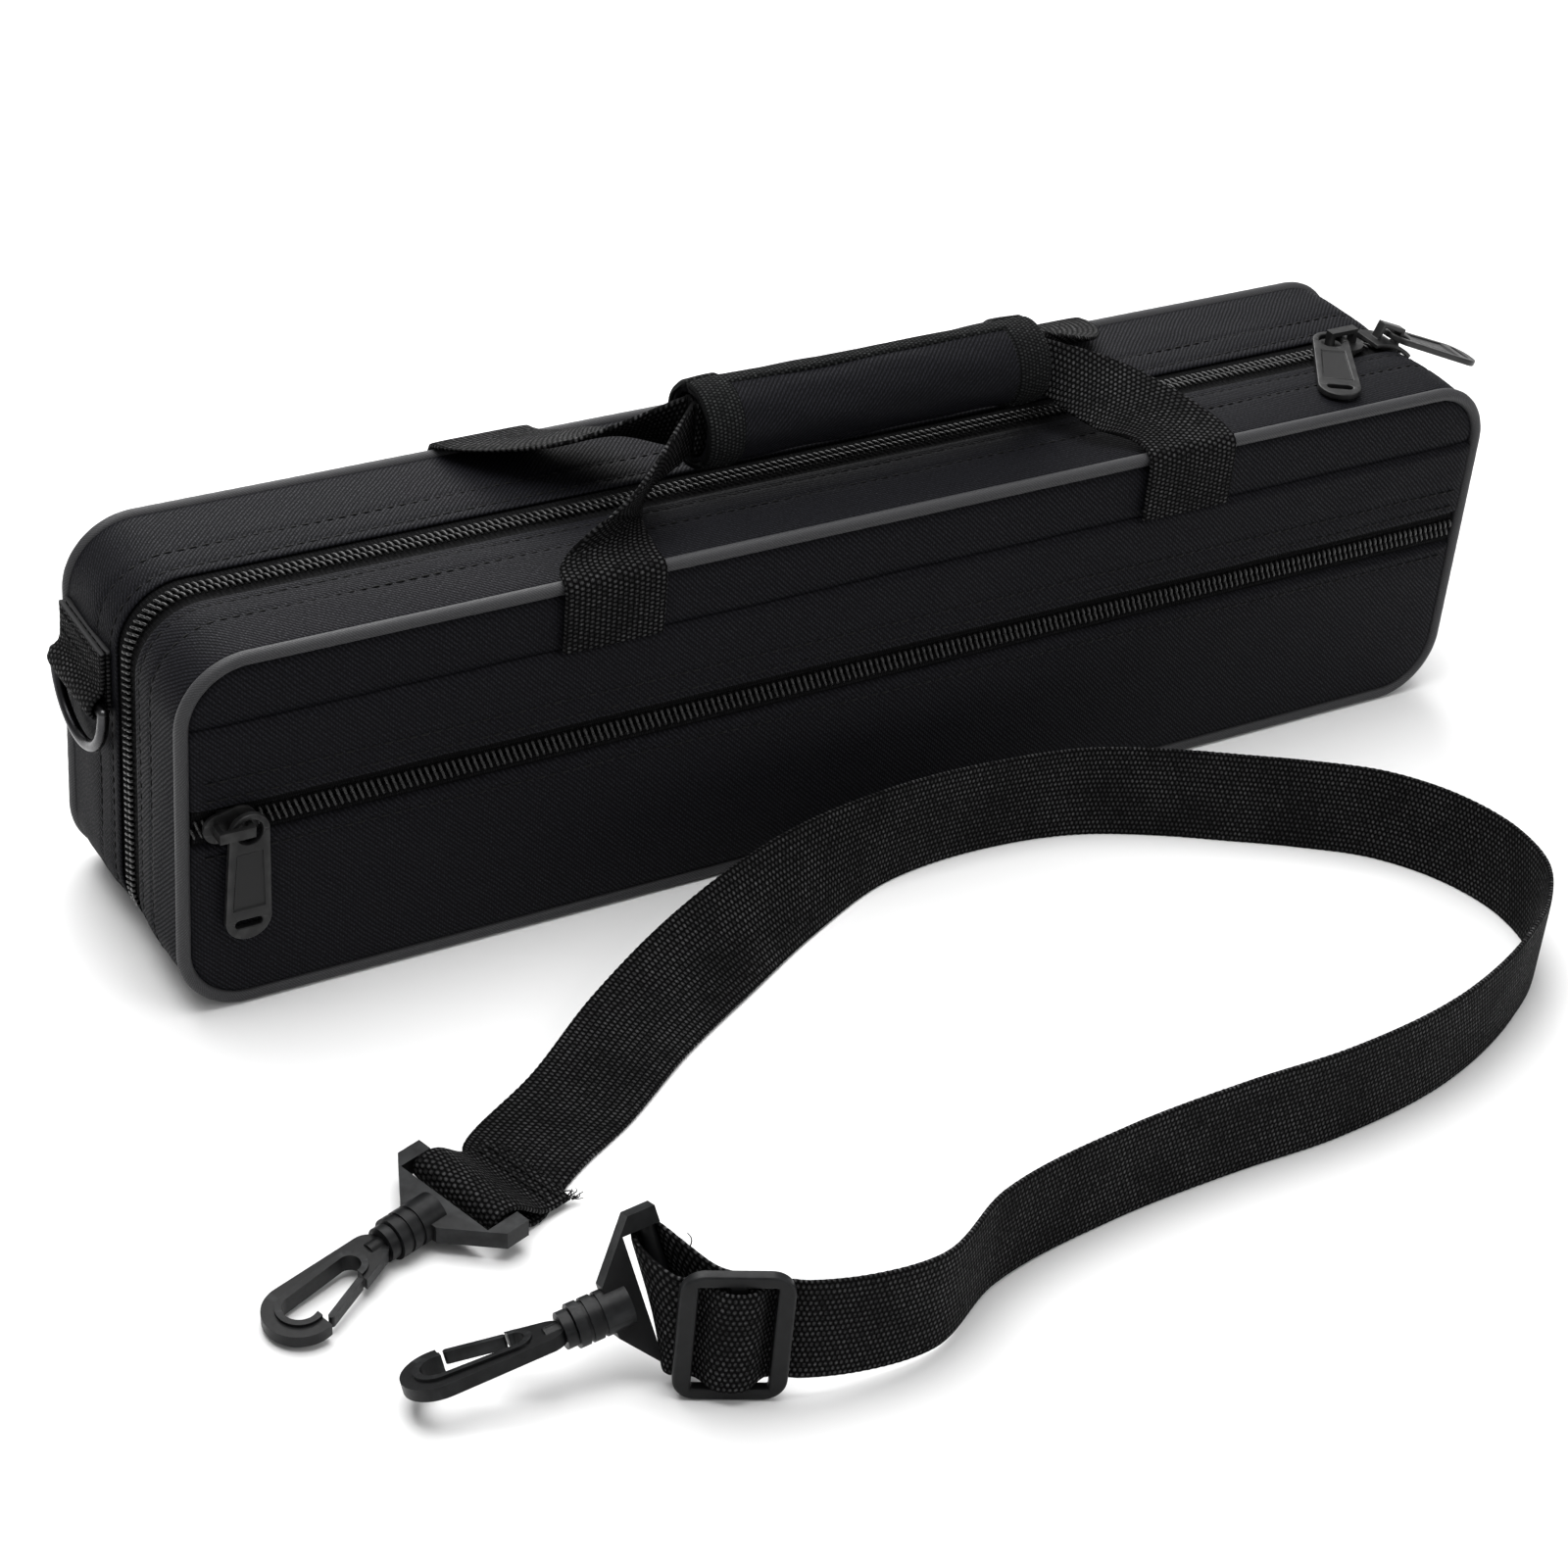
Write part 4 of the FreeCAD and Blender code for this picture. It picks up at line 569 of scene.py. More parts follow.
binding_cloth = cloth_material(
    "binding_tape", BASKET, {"Across": 0.0012, "Along": 0.001}, (0.0035, 0.0037, 0.0038),
    (0.036, 0.038, 0.038), (0.75, 0.5), (0.04, 0.15), (0.8, 0.0003))
tape_cloth = cloth_material(
    "zip_tape", BASKET, {"Across": 0.0012, "Along": 0.0007}, (0.0025, 0.0025, 0.0027),
    (0.012, 0.012, 0.013), (0.8, 0.65), (0.05, 0.1), (0.5, 0.0002))
lining_cloth = cloth_material(
    "brushed_lining", TWILL, {"Pitch": 0.0022}, (0.01, 0.01, 0.011), (0.019, 0.019, 0.021),
    (0.95, 0.85), (0.05, 0.1), (0.3, 0.0002), by_uv=False,
    **{"Sheen Weight": 0.15, "Sheen Roughness": 0.4})
coil_nylon = worn_material(
    "coil_nylon", (0.0035, 0.0035, 0.0037), (0.015, 0.015, 0.015), (0.22, 0.32), (0.05, 0.0001),
    1500.0, gloss(0.35))
thread_black = worn_material(
    "sewing_thread", (0.0025, 0.0025, 0.0027), (0.008, 0.008, 0.008), (0.55, 0.7), (0.5, 0.0001),
    2600.0, gloss(0.1))
zip_metal = worn_material(
    "black_zip_metal", (0.0036, 0.0036, 0.0038), (0.04, 0.04, 0.04), (0.32, 0.45), (0.12, 0.00005),
    1400.0, gloss(0.27))
ring_metal = worn_material(
    "dark_nickel", (0.028, 0.028, 0.03), (0.13, 0.13, 0.13), (0.25, 0.36), (0.05, 0.00005),
    900.0, {"Metallic": 1.0})
hook_plastic = worn_material(
    "moulded_plastic", (0.0038, 0.0039, 0.0042), (0.019, 0.02, 0.021), (0.36, 0.48), (0.18, 0.00008),
    1100.0, gloss(0.16))
board_foam = worn_material(
    "foam_board", (0.01, 0.01, 0.0105), (0.03, 0.03, 0.03), (0.8, 0.95), (0.6, 0.0002),
    1200.0, gloss(0.1))


# The two cloth bands, with their piping and topstitching

GUSSET_ROWS = (3 * MM, 11 * MM)
HALF_GAP = 7 * MM


def gusset(side, word, body):
    """The cloth band of one half: it rises from the piping's seam, crowns a little, is drawn in
    along two rows of stitches, and folds over beside the zip."""
    outer, fold = HALF_DEPTH - 2 * PIPE, HALF_GAP + side * ZIP_Y
    flat = np.linspace(0, 1, 36)
    depth = np.r_[outer + np.array((1.6, 0.9, 0.2)) * MM, outer - (outer - fold) * flat,
                  fold + np.array((-0.45, -0.2, 2.5)) * MM]
    crown = 0.75 * np.sin(pi * flat) ** 0.7
    inset = BAND + np.r_[1.9, 1.2, 0.45, 0.1 - crown, 0.45, 1.1, 1.25] * MM
    along = np.linspace(0, ROUND, int(ROUND / (1.15 * MM)), endpoint=False)[:, None]
    from_fold = depth - fold
    dents = sum(stitch_dent(from_fold - row, along) for row in GUSSET_ROWS) * 0.42 * MM
    uneven = ripple(along, depth, 11 + side, 0.28 * MM) * np.pad(np.sin(pi * flat), 3)
    full = inset + (dents + uneven) * np.pad(np.ones(36), 3)
    item = surface(word + "_gusset_cloth", band_points(along, side * depth, full), spread(along, depth),
                   wrap_rows=True)
    place(item, body, cloth, "cloth", word + "_gusset")
    seams = []
    for row in GUSSET_ROWS:
        lie = np.interp(row, from_fold[::-1], inset[::-1]) + 0.30 * MM
        point, normal = outline(np.linspace(0, ROUND, 1500), lie)
        point[:, 1] = side * (fold + row)
        seams.append(stitches(point, normal))
    sewn(word + "_gusset", body, "cloth", seams)


def piping(side, word, body):
    """The piping round one face: a circle carried round the outline, with the faint steps of its
    bias-cut cover."""
    along = np.linspace(0, ROUND, 1000, endpoint=False)[:, None]
    turn = circle(16)
    radius = PIPE * (1 + 0.008 * wave(along + turn * 2 * MM, 5.2 * MM) + 0.008 * wave(along, 61 * MM))
    depth = side * (HALF_DEPTH - PIPE) + radius * np.cos(turn)
    points = band_points(along, depth, PIPE - radius * np.sin(turn) * 0.998)
    item = surface(word + "_piping_cord", points, spread(along, turn * PIPE), wrap_rows=True,
                   wrap_columns=True)
    place(item, body, piping_cloth, "piping", word + "_piping")


# The flat faces

CROWN, UNEVEN = 0.55 * MM, 0.30 * MM
FOLD_WIDTH, FOLD_DROP = 1.4 * MM, 2.3 * MM
THREAD_SUNK = 0.22 * MM
REAR_WALL = 35.4 * MM


def panel(name, node, half, low, high, seed, folds=(False, False), rows=(), lift=0.0, step=1.6 * MM):
    """Cloth over a board between two heights. Its depth is the face, sunk towards the piping by
    an exponential of the distance to the outline, rolled in at each folded edge, and drawn in
    along rows of stitches."""
    side, _, body = half
    x, z, away = face_grid(FACE_EDGE - 0.6 * MM, step, low, high)
    bulge = CROWN * (1 - np.exp(-away / (9 * MM))) - 1.5 * MM * np.exp(-away / (1.1 * MM))
    bulge += ripple(x, z, seed, UNEVEN) * (1 - np.exp(-away / (12 * MM)))
    for row in rows:
        bulge -= stitch_dent(z - row, x) * 0.4 * MM
    for folded, distance in zip(folds, (z - low, high - z)):
        if folded:
            roll = np.clip(1 - distance / FOLD_WIDTH, 0, 1)
            bulge -= FOLD_DROP * (1 - np.sqrt(1 - 0.98 * roll ** 2))
        else:
            bulge -= 0.9 * MM * np.exp(-np.clip(distance, 0, 1) / (1.1 * MM))
    item = surface(name, spread(x, side * (FACE + lift + bulge), z), spread(x, z))
    place(item, body, cloth, "cloth", node)
    reach = HALF_LENGTH - 7 * MM
    line = np.linspace(-reach, reach, 700)
    lies = [FACE + lift + CROWN - THREAD_SUNK + ripple(line, row, seed, UNEVEN) for row in rows]
    if rows:
        sewn(name, body, "cloth", [stitches(spread(line, side * lie, row), (0, side, 0))
                                   for lie, row in zip(lies, rows)])


def rear_wall():
    """The pocket's flat rear wall, behind the zip: a sheet that sags by a sine of the height."""
    x, z, _ = face_grid(BAND + 1.4 * MM, 5 * MM)
    points = spread(x, -(REAR_WALL + 0.3 * MM * np.sin(pi * z / HEIGHT)), z)
    item = surface("pocket_rear_cloth", points, spread(x, z))
    place(item, "lid_half", cloth, "cloth", "pocket_rear_wall")


# Zips

COIL_HEIGHT = 1.15 * MM


def tooth():
    """One loop of the coil: a bent tube across the zip, arched by a sine, with a thicker head
    that meshes with the other row. X along the zip, Y across from the middle, Z outwards."""
    share = np.linspace(0, 1, 7)[:, None]
    around = circle(6)
    girth = (0.50 + 0.10 * np.exp(-((share - 0.88) / 0.12) ** 2) - 0.1 * (share < 0.05)) * MM
    across = (2.75 - 3.15 * share) * MM
    height = (0.30 + 0.62 * np.sin(pi * np.clip(share * 0.92 + 0.08, 0, 1)) ** 0.8) * MM
    slant = (share - 0.5) * 0.55 * COIL_PITCH
    return spread(slant + girth * np.cos(around), across + 0.35 * girth * np.sin(around),
                  height + girth * np.sin(around))


def coil_row(node, body, start, stop, sign, frames):
    """One row of the zip's coil, a loop at each pitch; the other row stands half a pitch off.
    frames gives the origins, the way across and the ways outwards at each distance."""
    at = np.arange(start + (COIL_PITCH / 2 if sign > 0 else 0), stop, COIL_PITCH)
    origin, across, up = frames(at)
    across, up = np.broadcast_to(across, origin.shape), np.broadcast_to(up, origin.shape)
    axes = np.stack([np.cross(across, up) * sign, across * sign, up], 1)
    coil = copies(node + "_loops", tooth(), origin, axes)
    place(coil, body, coil_nylon, "zip_coil", node)


def outline_frames(at):
    """Frames on the main zip: round the outline, with Y across."""
    point, normal = outline(at, BAND + COIL_HEIGHT)
    point[:, 1] = ZIP_Y
    return point, (0.0, 1.0, 0.0), normal


def pocket_frames(at):
    """Frames on the pocket's zip: along X, with Z across."""
    return spread(at, -(FACE - COIL_HEIGHT), POCKET_ZIP_Z), UP, (0.0, -1.0, 0.0)


def main_zip():
    """The tapes and coils of the zip round the case, and the strip that is the hinge."""
    for (side, word, body), (near, far) in zip(HALVES, ((-18, -3.75), (-2.25, 12))):
        tape = band(word + "_zip_tape_cloth", ZIP_START, ZIP_STOP, 3 * MM, (near, far, far, near),
                    (2.3, 2.3, 2.8, 2.8), solid=True)
        place(tape, body, tape_cloth, "zip_tape", word + "_zip_tape")
        coil_row(word + "_zip_coil", body, ZIP_START, ZIP_STOP, side, outline_frames)
    depth = np.r_[-9.7, np.linspace(-9, 3, 16), 3.6]
    inset = np.r_[1.9, 1.15 + 0.25 * np.sin(np.linspace(0, 2 * TURN, 16)) ** 2, 1.9]
    start = ZIP_STOP + 0.6 * MM - ROUND
    hinge = band("hinge_strip_cloth", start, -start, 2.5 * MM, depth, inset)
    place(hinge, None, cloth, "cloth", "hinge_strip")
    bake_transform(hinge)


def pocket_zip():
    """The pocket's zip: two tapes behind the slot and two rows of coil."""
    reach = HALF_LENGTH - FACE_EDGE - 0.6 * MM
    for word, sign in (("lower", -1), ("upper", 1)):
        x = np.linspace(-reach, reach, 160)[:, None]
        across = np.linspace(0.6, 12.5, 14) * MM * sign
        y = -(FACE - 1.25 * MM) + 0.12 * MM * wave(across, 2 * MM)
        node = "pocket_zip_tape_" + word
        tape = surface(node + "_cloth", spread(x, y, POCKET_ZIP_Z + across), spread(across, x))
        place(tape, "lid_half", tape_cloth, "zip_tape", node)
        coil_row("pocket_zip_coil_" + word, "lid_half", -reach, reach, sign, pocket_frames)


# The carrying handle

GRIP_LOW, GRIP_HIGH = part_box("grip_pad")
GRIP_X = (GRIP_LOW.x + GRIP_HIGH.x) / 2
GRIP_LENGTH = GRIP_HIGH.x - GRIP_LOW.x
GRIP_MIDDLE = np.array((GRIP_X, -5 * MM, 126.5 * MM))
GRIP_RADIUS, GRIP_WALL = 12 * MM, 3 * MM
CORE_Y, CORE_HALF = 1.8 * MM, 8 * MM
FLAP_LOW, FLAP_HIGH = 75.0, 225.0
BINDING_WIDTH = 11 * MM
# How far off the face the legs lie
LEG_LIFT = 1.15 * MM
LEG_FAR_EDGE_SHARES = (0.38, 0.77, 0.49)
LEG_NEAR_EDGE_SHARES = (0.56, 0.36, 0.46)
# The front left leg turns its edge to the front half way up: half its width, and its face's normal
FRONT_LEFT_TWIST = (np.array((-5.5, -8.5, 7.5)) * MM, np.array((0.576, -0.562, -0.252)))


def handle_leg(node, end, side):
    """Webbing from its seam on one face, over the piping and up into the end of the grip."""
    web_low, web_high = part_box(node)
    anchor = web_low.x + WEB_WIDTH / 2 if end < 0 else web_high.x - WEB_WIDTH / 2
    outwards, across = np.array((0.0, side, 0.0)), np.array((end * WEB_WIDTH / 2, 0, 0))
    seam = SEAM_Z + 0.2 * MM if side == FRONT else SEAM_Z - 20 * MM
    pipe = np.array((anchor, (HALF_DEPTH - PIPE) * side, HEIGHT - PIPE))
    start = np.array((anchor, side * (FACE + LEG_LIFT + WEB_THICK / 2), seam))
    below = np.array((anchor, start[1], pipe[2] - 6 * MM))
    stations = [(spot, across, outwards) for spot in (start, (start + below) / 2, below)]
    for angle in (0, 30, 60, 90):
        ray = outwards * cos(radians(angle)) + UP * sin(radians(angle))
        stations.append((pipe + ray * (PIPE + 0.35 * MM + WEB_THICK / 2), across, ray))
    top = stations[-1][0]
    grip_end = GRIP_MIDDLE + ((GRIP_LENGTH / 2 + 0.3 * MM) * end, CORE_Y * side, 0)
    upright = UP * CORE_HALF
    edges = []
    for sign, shares in ((1, LEG_FAR_EDGE_SHARES), (-1, LEG_NEAR_EDGE_SHARES)):
        low, high = top + across * sign, grip_end + upright * sign
        edges.append(low + (high - low) * np.array(shares))
    half_way, half_across = (edges[0] + edges[1]) / 2, (edges[0] - edges[1]) / 2
    edge_way = unit(half_across)
    face_way = unit(outwards + UP - edge_way * (outwards + UP).dot(edge_way))
    if side == FRONT and end < 0:
        half_across, face_way = FRONT_LEFT_TWIST
    stations += [(half_way, half_across, face_way), (grip_end, upright, outwards)]
    item, length = webbing(node + "_leg", None, node, stations, 90)
    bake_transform(item)


def round_grip(name, x, u, angle, outer, inner):
    """A closed wall round the grip's middle between two radii, at places x along it and angles
    round it; u is the place along in the UV map."""
    radius = np.concatenate([outer, np.full(outer.shape, inner)])
    angle = np.concatenate([angle, angle[::-1]])
    y, z = GRIP_MIDDLE[1] + radius * np.cos(angle), GRIP_MIDDLE[2] + radius * np.sin(angle)
    points, uv = spread(x, y, z), spread(u, angle * GRIP_RADIUS)
    return surface(name, points.transpose(1, 0, 2), uv.transpose(1, 0, 2), wrap_columns=True, caps=True)


def waist(x):
    """How far the grip's wall is drawn in at both ends, in millimetres: a Gauss bell."""
    return 0.5 * np.exp(-((GRIP_LENGTH / 2 - np.abs(x)) / (5 * MM)) ** 2)


def grip_shell(node, body, start, finish, seed):
    """Part of the grip's wrap: a padded wall between two angles. The radius swells by a sine of
    the angle and towards the ends by a cosine, is drawn in under the binding and at the long edges
    by Gauss bells, and carries slow creases."""
    angle = np.radians(np.linspace(start + 1.5, finish - 1.5, 46))[:, None]
    share = np.linspace(0, 1, 46)[:, None]
    x = np.linspace(-0.5, 0.5, 90) * (GRIP_LENGTH - 0.6 * MM)
    swell = (0.5 * np.sin(pi * share) - waist(x) - 0.55 * np.cos(pi * x / GRIP_LENGTH)) * MM
    crease = ripple(x, share * 40 * MM, seed, 0.55 * MM)
    edge = np.exp(-(np.minimum(share, 1 - share) / 0.03) ** 2) * 0.9 * MM
    outer = GRIP_RADIUS + swell + crease - edge
    item = round_grip(node + "_cloth", GRIP_X + x, x, angle, outer, GRIP_RADIUS - GRIP_WALL + 0.1 * MM)
    place(item, body, cloth, "cloth", node)


def binding_strip(left, right, low, high, seed):
    """Woven tape over an edge of the grip: raised by half a millimetre with rounded sides, between
    two places along the grip and two angles."""
    x = np.linspace(left, right, max(int((right - left) / (1.2 * MM)), 8))
    angle = np.radians(np.linspace(low, high, max(int((high - low) / 3), 8)))[:, None]
    rise_x = ramp(np.minimum(x - left, right - x), 1)
    rise_a = ramp(np.minimum(angle - angle.min(), angle.max() - angle) * GRIP_RADIUS, 1)
    rise = np.sqrt(1 - (1 - rise_x * rise_a) ** 2)
    middle = x - GRIP_X
    body = -waist(middle) - 0.45 * np.cos(pi * middle / GRIP_LENGTH)
    outer = GRIP_RADIUS + (0.25 + body + 0.75 * rise) * MM + ripple(x, angle * 12 * MM, seed, 0.25 * MM)
    return round_grip("strip", x, x, angle, outer, GRIP_RADIUS - 1.6 * MM)


def carrying_handle():
    """Both shells of the wrap with their bindings, the cores and the four legs."""
    low, high = GRIP_X - GRIP_LENGTH / 2, GRIP_X + GRIP_LENGTH / 2
    shells = (("grip_pad", "grip", FLAP_HIGH, FLAP_LOW + 360, 5),
              ("grip_flap", "grip_wrap", FLAP_LOW, FLAP_HIGH, 9))
    for node, body, start, finish, seed in shells:
        grip_shell(node, body, start, finish, seed)
        spans = [(low - 0.2 * MM, low + BINDING_WIDTH, start + 2.5, finish - 2.5),
                 (high - BINDING_WIDTH, high + 0.2 * MM, start + 2.5, finish - 2.5)]
        if node == "grip_flap":
            spans.append((low + 2 * MM, high - 2 * MM, start + 2.5, start + 27))
        tape = joined(node + "_binding_tape", [binding_strip(*span, seed) for span in spans])
        place(tape, body, binding_cloth, "webbing", node + "_binding")
    holders = ("grip", "rear_handle")
    for (side, word, _), holder in zip(HALVES, holders):
        node = "handle_core_" + word
        places = np.linspace(-0.5, 0.5, 30) * GRIP_LENGTH
        stations = [(GRIP_MIDDLE + (x, CORE_Y * side, 0), UP * CORE_HALF, (0, side, 0)) for x in places]
        core, length = webbing(node + "_web", holder, node, stations, 60, thick=2 * WEB_THICK)
    for (side, word, half), holder in zip(HALVES, holders):
        for hand, end in (("left", -1), ("right", 1)):
            handle_leg("handle_web_%s_%s" % (word, hand), end, side)


# D-rings' tabs

BAR_REACH, BAR_Z = 3.5 * MM, 70 * MM


def ring_tab(word, side):
    """Webbing folded round the D-ring's bar: down the end, round the bar and back up on itself,
    with two rows of stitches across it."""
    node = "ring_tab_" + word
    low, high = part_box(node)
    bend = BAR_REACH - WEB_THICK / 2
    inner_x = HALF_LENGTH - BAND + 0.05 * MM + WEB_THICK / 2
    path = [(inner_x, high.z), (inner_x, BAR_Z + 10 * MM), (inner_x, BAR_Z + 3 * MM)]
    path += [(inner_x + bend + bend * cos(a), BAR_Z + bend * sin(a))
             for a in np.radians(range(180, 391, 30))]
    path += [(inner_x + 2.0 * MM, BAR_Z + 5 * MM), (inner_x + WEB_THICK, BAR_Z + 9 * MM),
             (inner_x + WEB_THICK, high.z - 0.5 * MM)]
    line = smooth_line([(x, 0, z) for x, z in path], 80)
    stations = [((side * x, (low.y + high.y) / 2, z), (0, WEB_WIDTH / 2, 0), (-side * a[2], 0, a[0]))
                for (x, _, z), a in zip(line, unit(np.gradient(line, axis=0)))]
    item, length = webbing(node + "_loop", "back_half", node, stations, 100, thick=WEB_THICK * 0.96)
    outer_x = side * (inner_x + 1.5 * WEB_THICK + 0.1 * MM)
    y = np.linspace(low.y + 2.5 * MM, high.y - 2.5 * MM, 40)
    rows = [stitches(spread(outer_x, y, BAR_Z + height), (side, 0, 0), pitch=2.6 * MM)
            for height in (9 * MM, 14.5 * MM)]
    sewn(node, "back_half", "webbing", rows)


# The shoulder strap, through the same points as its solid

FIRST_BAR = np.array((-0.1769, -0.1401, 0.0071))
FIRST_HEADING = 196
SECOND_BAR = np.array((-0.157, -0.2045, 0.0216))
SECOND_HEADING, SECOND_DIP, SECOND_ROLL = 177, 11, -62
ADJUSTER = np.array((-0.1495, -0.224, 0.0192))
ADJUSTER_HEADING = -26
BEND_RADIUS = 0.00327
# Distance from the first bar along the strap, and height
TURNED_END = ((0.022, 0.00255), (0.015, 0.0026))
LEAVING_BAR = ((0.005, 0.0024), (0.012, 0.00095))
# The strap's lower edge on the floor: X, Y, tilt from flat, lift
STRAP_ROUTE = (
    (-0.1651, -0.1523, 0, 0), (-0.150, -0.1425, 0, 0), (-0.122, -0.126, 4, 0), (-0.0966, -0.1085, 14, 0),
    (-0.066, -0.091, 34, 0), (-0.0378, -0.0753, 60, 0), (-0.0041, -0.061, 84, 0), (0.0295, -0.0585, 90, 0),
    (0.0592, -0.0636, 90, 0), (0.0807, -0.0735, 90, 0), (0.098, -0.084, 90, 0), (0.1153, -0.095, 90, 0),
    (0.1329, -0.1088, 90, 0), (0.145, -0.128, 90, 0), (0.149, -0.147, 90, 0), (0.146, -0.163, 90, 0),
    (0.1359, -0.176, 90, 0), (0.1193, -0.1872, 90, 0), (0.0871, -0.2009, 90, 0), (0.0425, -0.208, 90, 0),
    (0.0087, -0.208, 90, 0), (-0.030, -0.210, 90, 0), (-0.0717, -0.218, 90, 0.0005),
    (-0.0987, -0.232, 90, 0.0015), (-0.117, -0.2325, 90, 0.0028),
)
# Along the adjuster, and out of it towards the near side
ADJUSTER_ROUTE = ((0.017, -0.0024), (0.008, -0.0024), (0.0033, 0.0024), (-0.0033, 0.0024), (-0.008, -0.0024),
                  (-0.014, -0.0032))
# Back from the second bar to the adjuster: along it, out of it, and share of the bar's lean
RETURN_ROUTE = ((-0.008, -0.010, 0.5), (-0.0045, -0.0064, 0.15), (0.004, -0.0043, 0), (0.010, -0.0043, 0))
AWAY, ASIDE = level(FIRST_HEADING + 180), level(FIRST_HEADING + 270)


def from_first(away, aside=0.0, height=0.0):
    """A point counted from the floor under the first bar."""
    return FIRST_BAR * (1, 1, 0) + AWAY * away + ASIDE * aside + UP * height


def bend_round(middle, start, finish, steps):
    """Points round a bar in steps of one angle, in the plane across the bar."""
    angles = np.radians(np.linspace(start, finish, steps + 1))
    return [(middle[0] + BEND_RADIUS * cos(a), middle[1] + BEND_RADIUS * sin(a)) for a in angles]


def turned_end():
    """The sewn end, lying on the strap, up and round the first hook's bar."""
    path = [*TURNED_END, *bend_round((0, FIRST_BAR[2]), 70, 290, 5), *LEAVING_BAR]
    return [(from_first(away, height=height), ASIDE) for away, height in path]


def lying_run():
    """The strap on the floor, from flat at the first hook to on edge in the bend."""
    places = np.array([(x, y, 0) for x, y, tilt, lift in STRAP_ROUTE])
    run = []
    for index, (x, y, tilt, lift) in enumerate(STRAP_ROUTE):
        ahead = unit(places[min(index + 1, len(places) - 1)] - places[max(index - 1, 0)])
        lean = radians(tilt)
        across = np.array((-ahead[1], ahead[0], 0)) * cos(lean) + UP * sin(lean)
        rise = WEB_THICK / 2 * cos(lean) + 0.00005 + lift
        run.append((np.array((x, y, rise)) + across * WEB_WIDTH / 2, across))
    return run


def adjusted_end():
    """The strap woven through the adjuster, round the second hook's bar and back behind it."""
    along, near = level(ADJUSTER_HEADING), level(ADJUSTER_HEADING - 90)
    hook_turn = Matrix.Identity(3)
    for angle, axis in ((SECOND_HEADING, "Z"), (SECOND_DIP, "Y"), (SECOND_ROLL, "X")):
        hook_turn = hook_turn @ Matrix.Rotation(radians(angle), 3, axis)
    bar_way = np.array(hook_turn @ Vector((0, -1, 0)))
    run = [(ADJUSTER + along * s + near * n, UP) for s, n in ADJUSTER_ROUTE]
    run += [(SECOND_BAR + np.array(hook_turn @ Vector((u, 0, w))), bar_way)
            for u, w in bend_round((0, 0), -20, -200, 4)]
    lift = UP * (SECOND_BAR[2] - ADJUSTER[2])
    return run + [(ADJUSTER + along * s + near * n + lift * share, unit(UP * (1 - share) + bar_way * share))
                  for s, n, share in RETURN_ROUTE]


def shoulder_strap():
    """The detachable strap as it lies in front of the case."""
    middles = turned_end() + lying_run()[1:] + adjusted_end()
    places = np.array([middle for middle, across in middles])
    ahead = unit(np.concatenate([places[1:], places[-1:]]) - np.concatenate([places[:1], places[:-1]]))
    stations = [(middle, across * WEB_WIDTH / 2, unit(np.cross(across, way)))
                for (middle, across), way in zip(middles, ahead)]
    item, length = webbing("strap_webbing", "lid_half", "shoulder_strap", stations, 760)
    aside = np.linspace(-0.0135, 0.0135, 40)[:, None]
    rows = [stitches(from_first(away, aside, 0.0037), UP, pitch=2.4 * MM) for away in (0.0165, 0.0195)]
    sewn("strap", "lid_half", "webbing", rows)
    return length


def loose_threads():
    """Short frayed yarns at the strap's cut end and beside the second hook: thin tubes along
    bent lines, a seeded scatter."""
    rng = np.random.default_rng(4)
    pieces = []
    for index in range(26):
        corner = index <= 8
        aside = rng.uniform(-0.0155, -0.0135) if corner else rng.uniform(-0.0148, 0.0148)
        start = from_first(0.0222, aside, rng.uniform(0.0020, 0.0032))
        reach = rng.uniform(0.0012, 0.0026) * (1.5 if corner else 1)
        heading = AWAY * rng.uniform(0.6, 1) + ASIDE * rng.normal(0, 0.5) + UP * rng.uniform(-0.25, 0.35)
        pieces.append((start, heading * reach, rng.normal(0, 0.0004, 3)))
    knot, upwards = adjusted_end()[-len(RETURN_ROUTE)]
    reach, bow = np.array((-0.0006, 0.0005, 0.0042)), np.array((0.0008, 0, 0))
    pieces.append((knot + upwards * 0.0147, reach, bow))
    share = np.linspace(0, 1, 6)[:, None, None]
    around = circle(5)[:, None]
    yarns = []
    for start, reach, bow in pieces:
        way = unit(reach)
        side = unit(np.cross(way, (0.3, 0.5, 0.8)))
        ring = side * np.cos(around) + np.cross(way, side) * np.sin(around)
        points = start + reach * share + bow * np.sin(pi * share) + ring * 0.0002 * (1 - 0.4 * share)
        yarns.append(surface("yarn", points, np.zeros((6, 5, 2)), wrap_columns=True, caps=True))
    place(joined("loose_threads", yarns), "lid_half", thread_black, "webbing")


# Inside the case

# Each channel's width, depth, left end, right end and height of its middle: middle joint, head
# joint, foot joint and cleaning rod
BED_CHANNELS = np.array(((32, 27, -176, 176, 76), (27, 27, -187, 39, 30), (31, 27, 51, 187, 30),
                         (8, 11, -176, 176, 52.75))) * MM
BED_TOP, LINER_RIM, LINER_FACE = -2.5 * MM, -3.4 * MM, -26.6 * MM


def eased(share):
    """From 0 to 1 with level ends: 3 s squared - 2 s cubed."""
    return share * share * (3 - 2 * share)


def lining(name, node, body, points, toward):
    """A padded face sheet with a wall's thickness behind it."""
    item = surface(name, points, points[..., ::2], toward=(0, toward, HEIGHT / 2))
    adjust(item.modifiers.new("thickness", "SOLIDIFY"), thickness=1.2 * MM, offset=-1)
    place(item, body, lining_cloth, "lining", node)


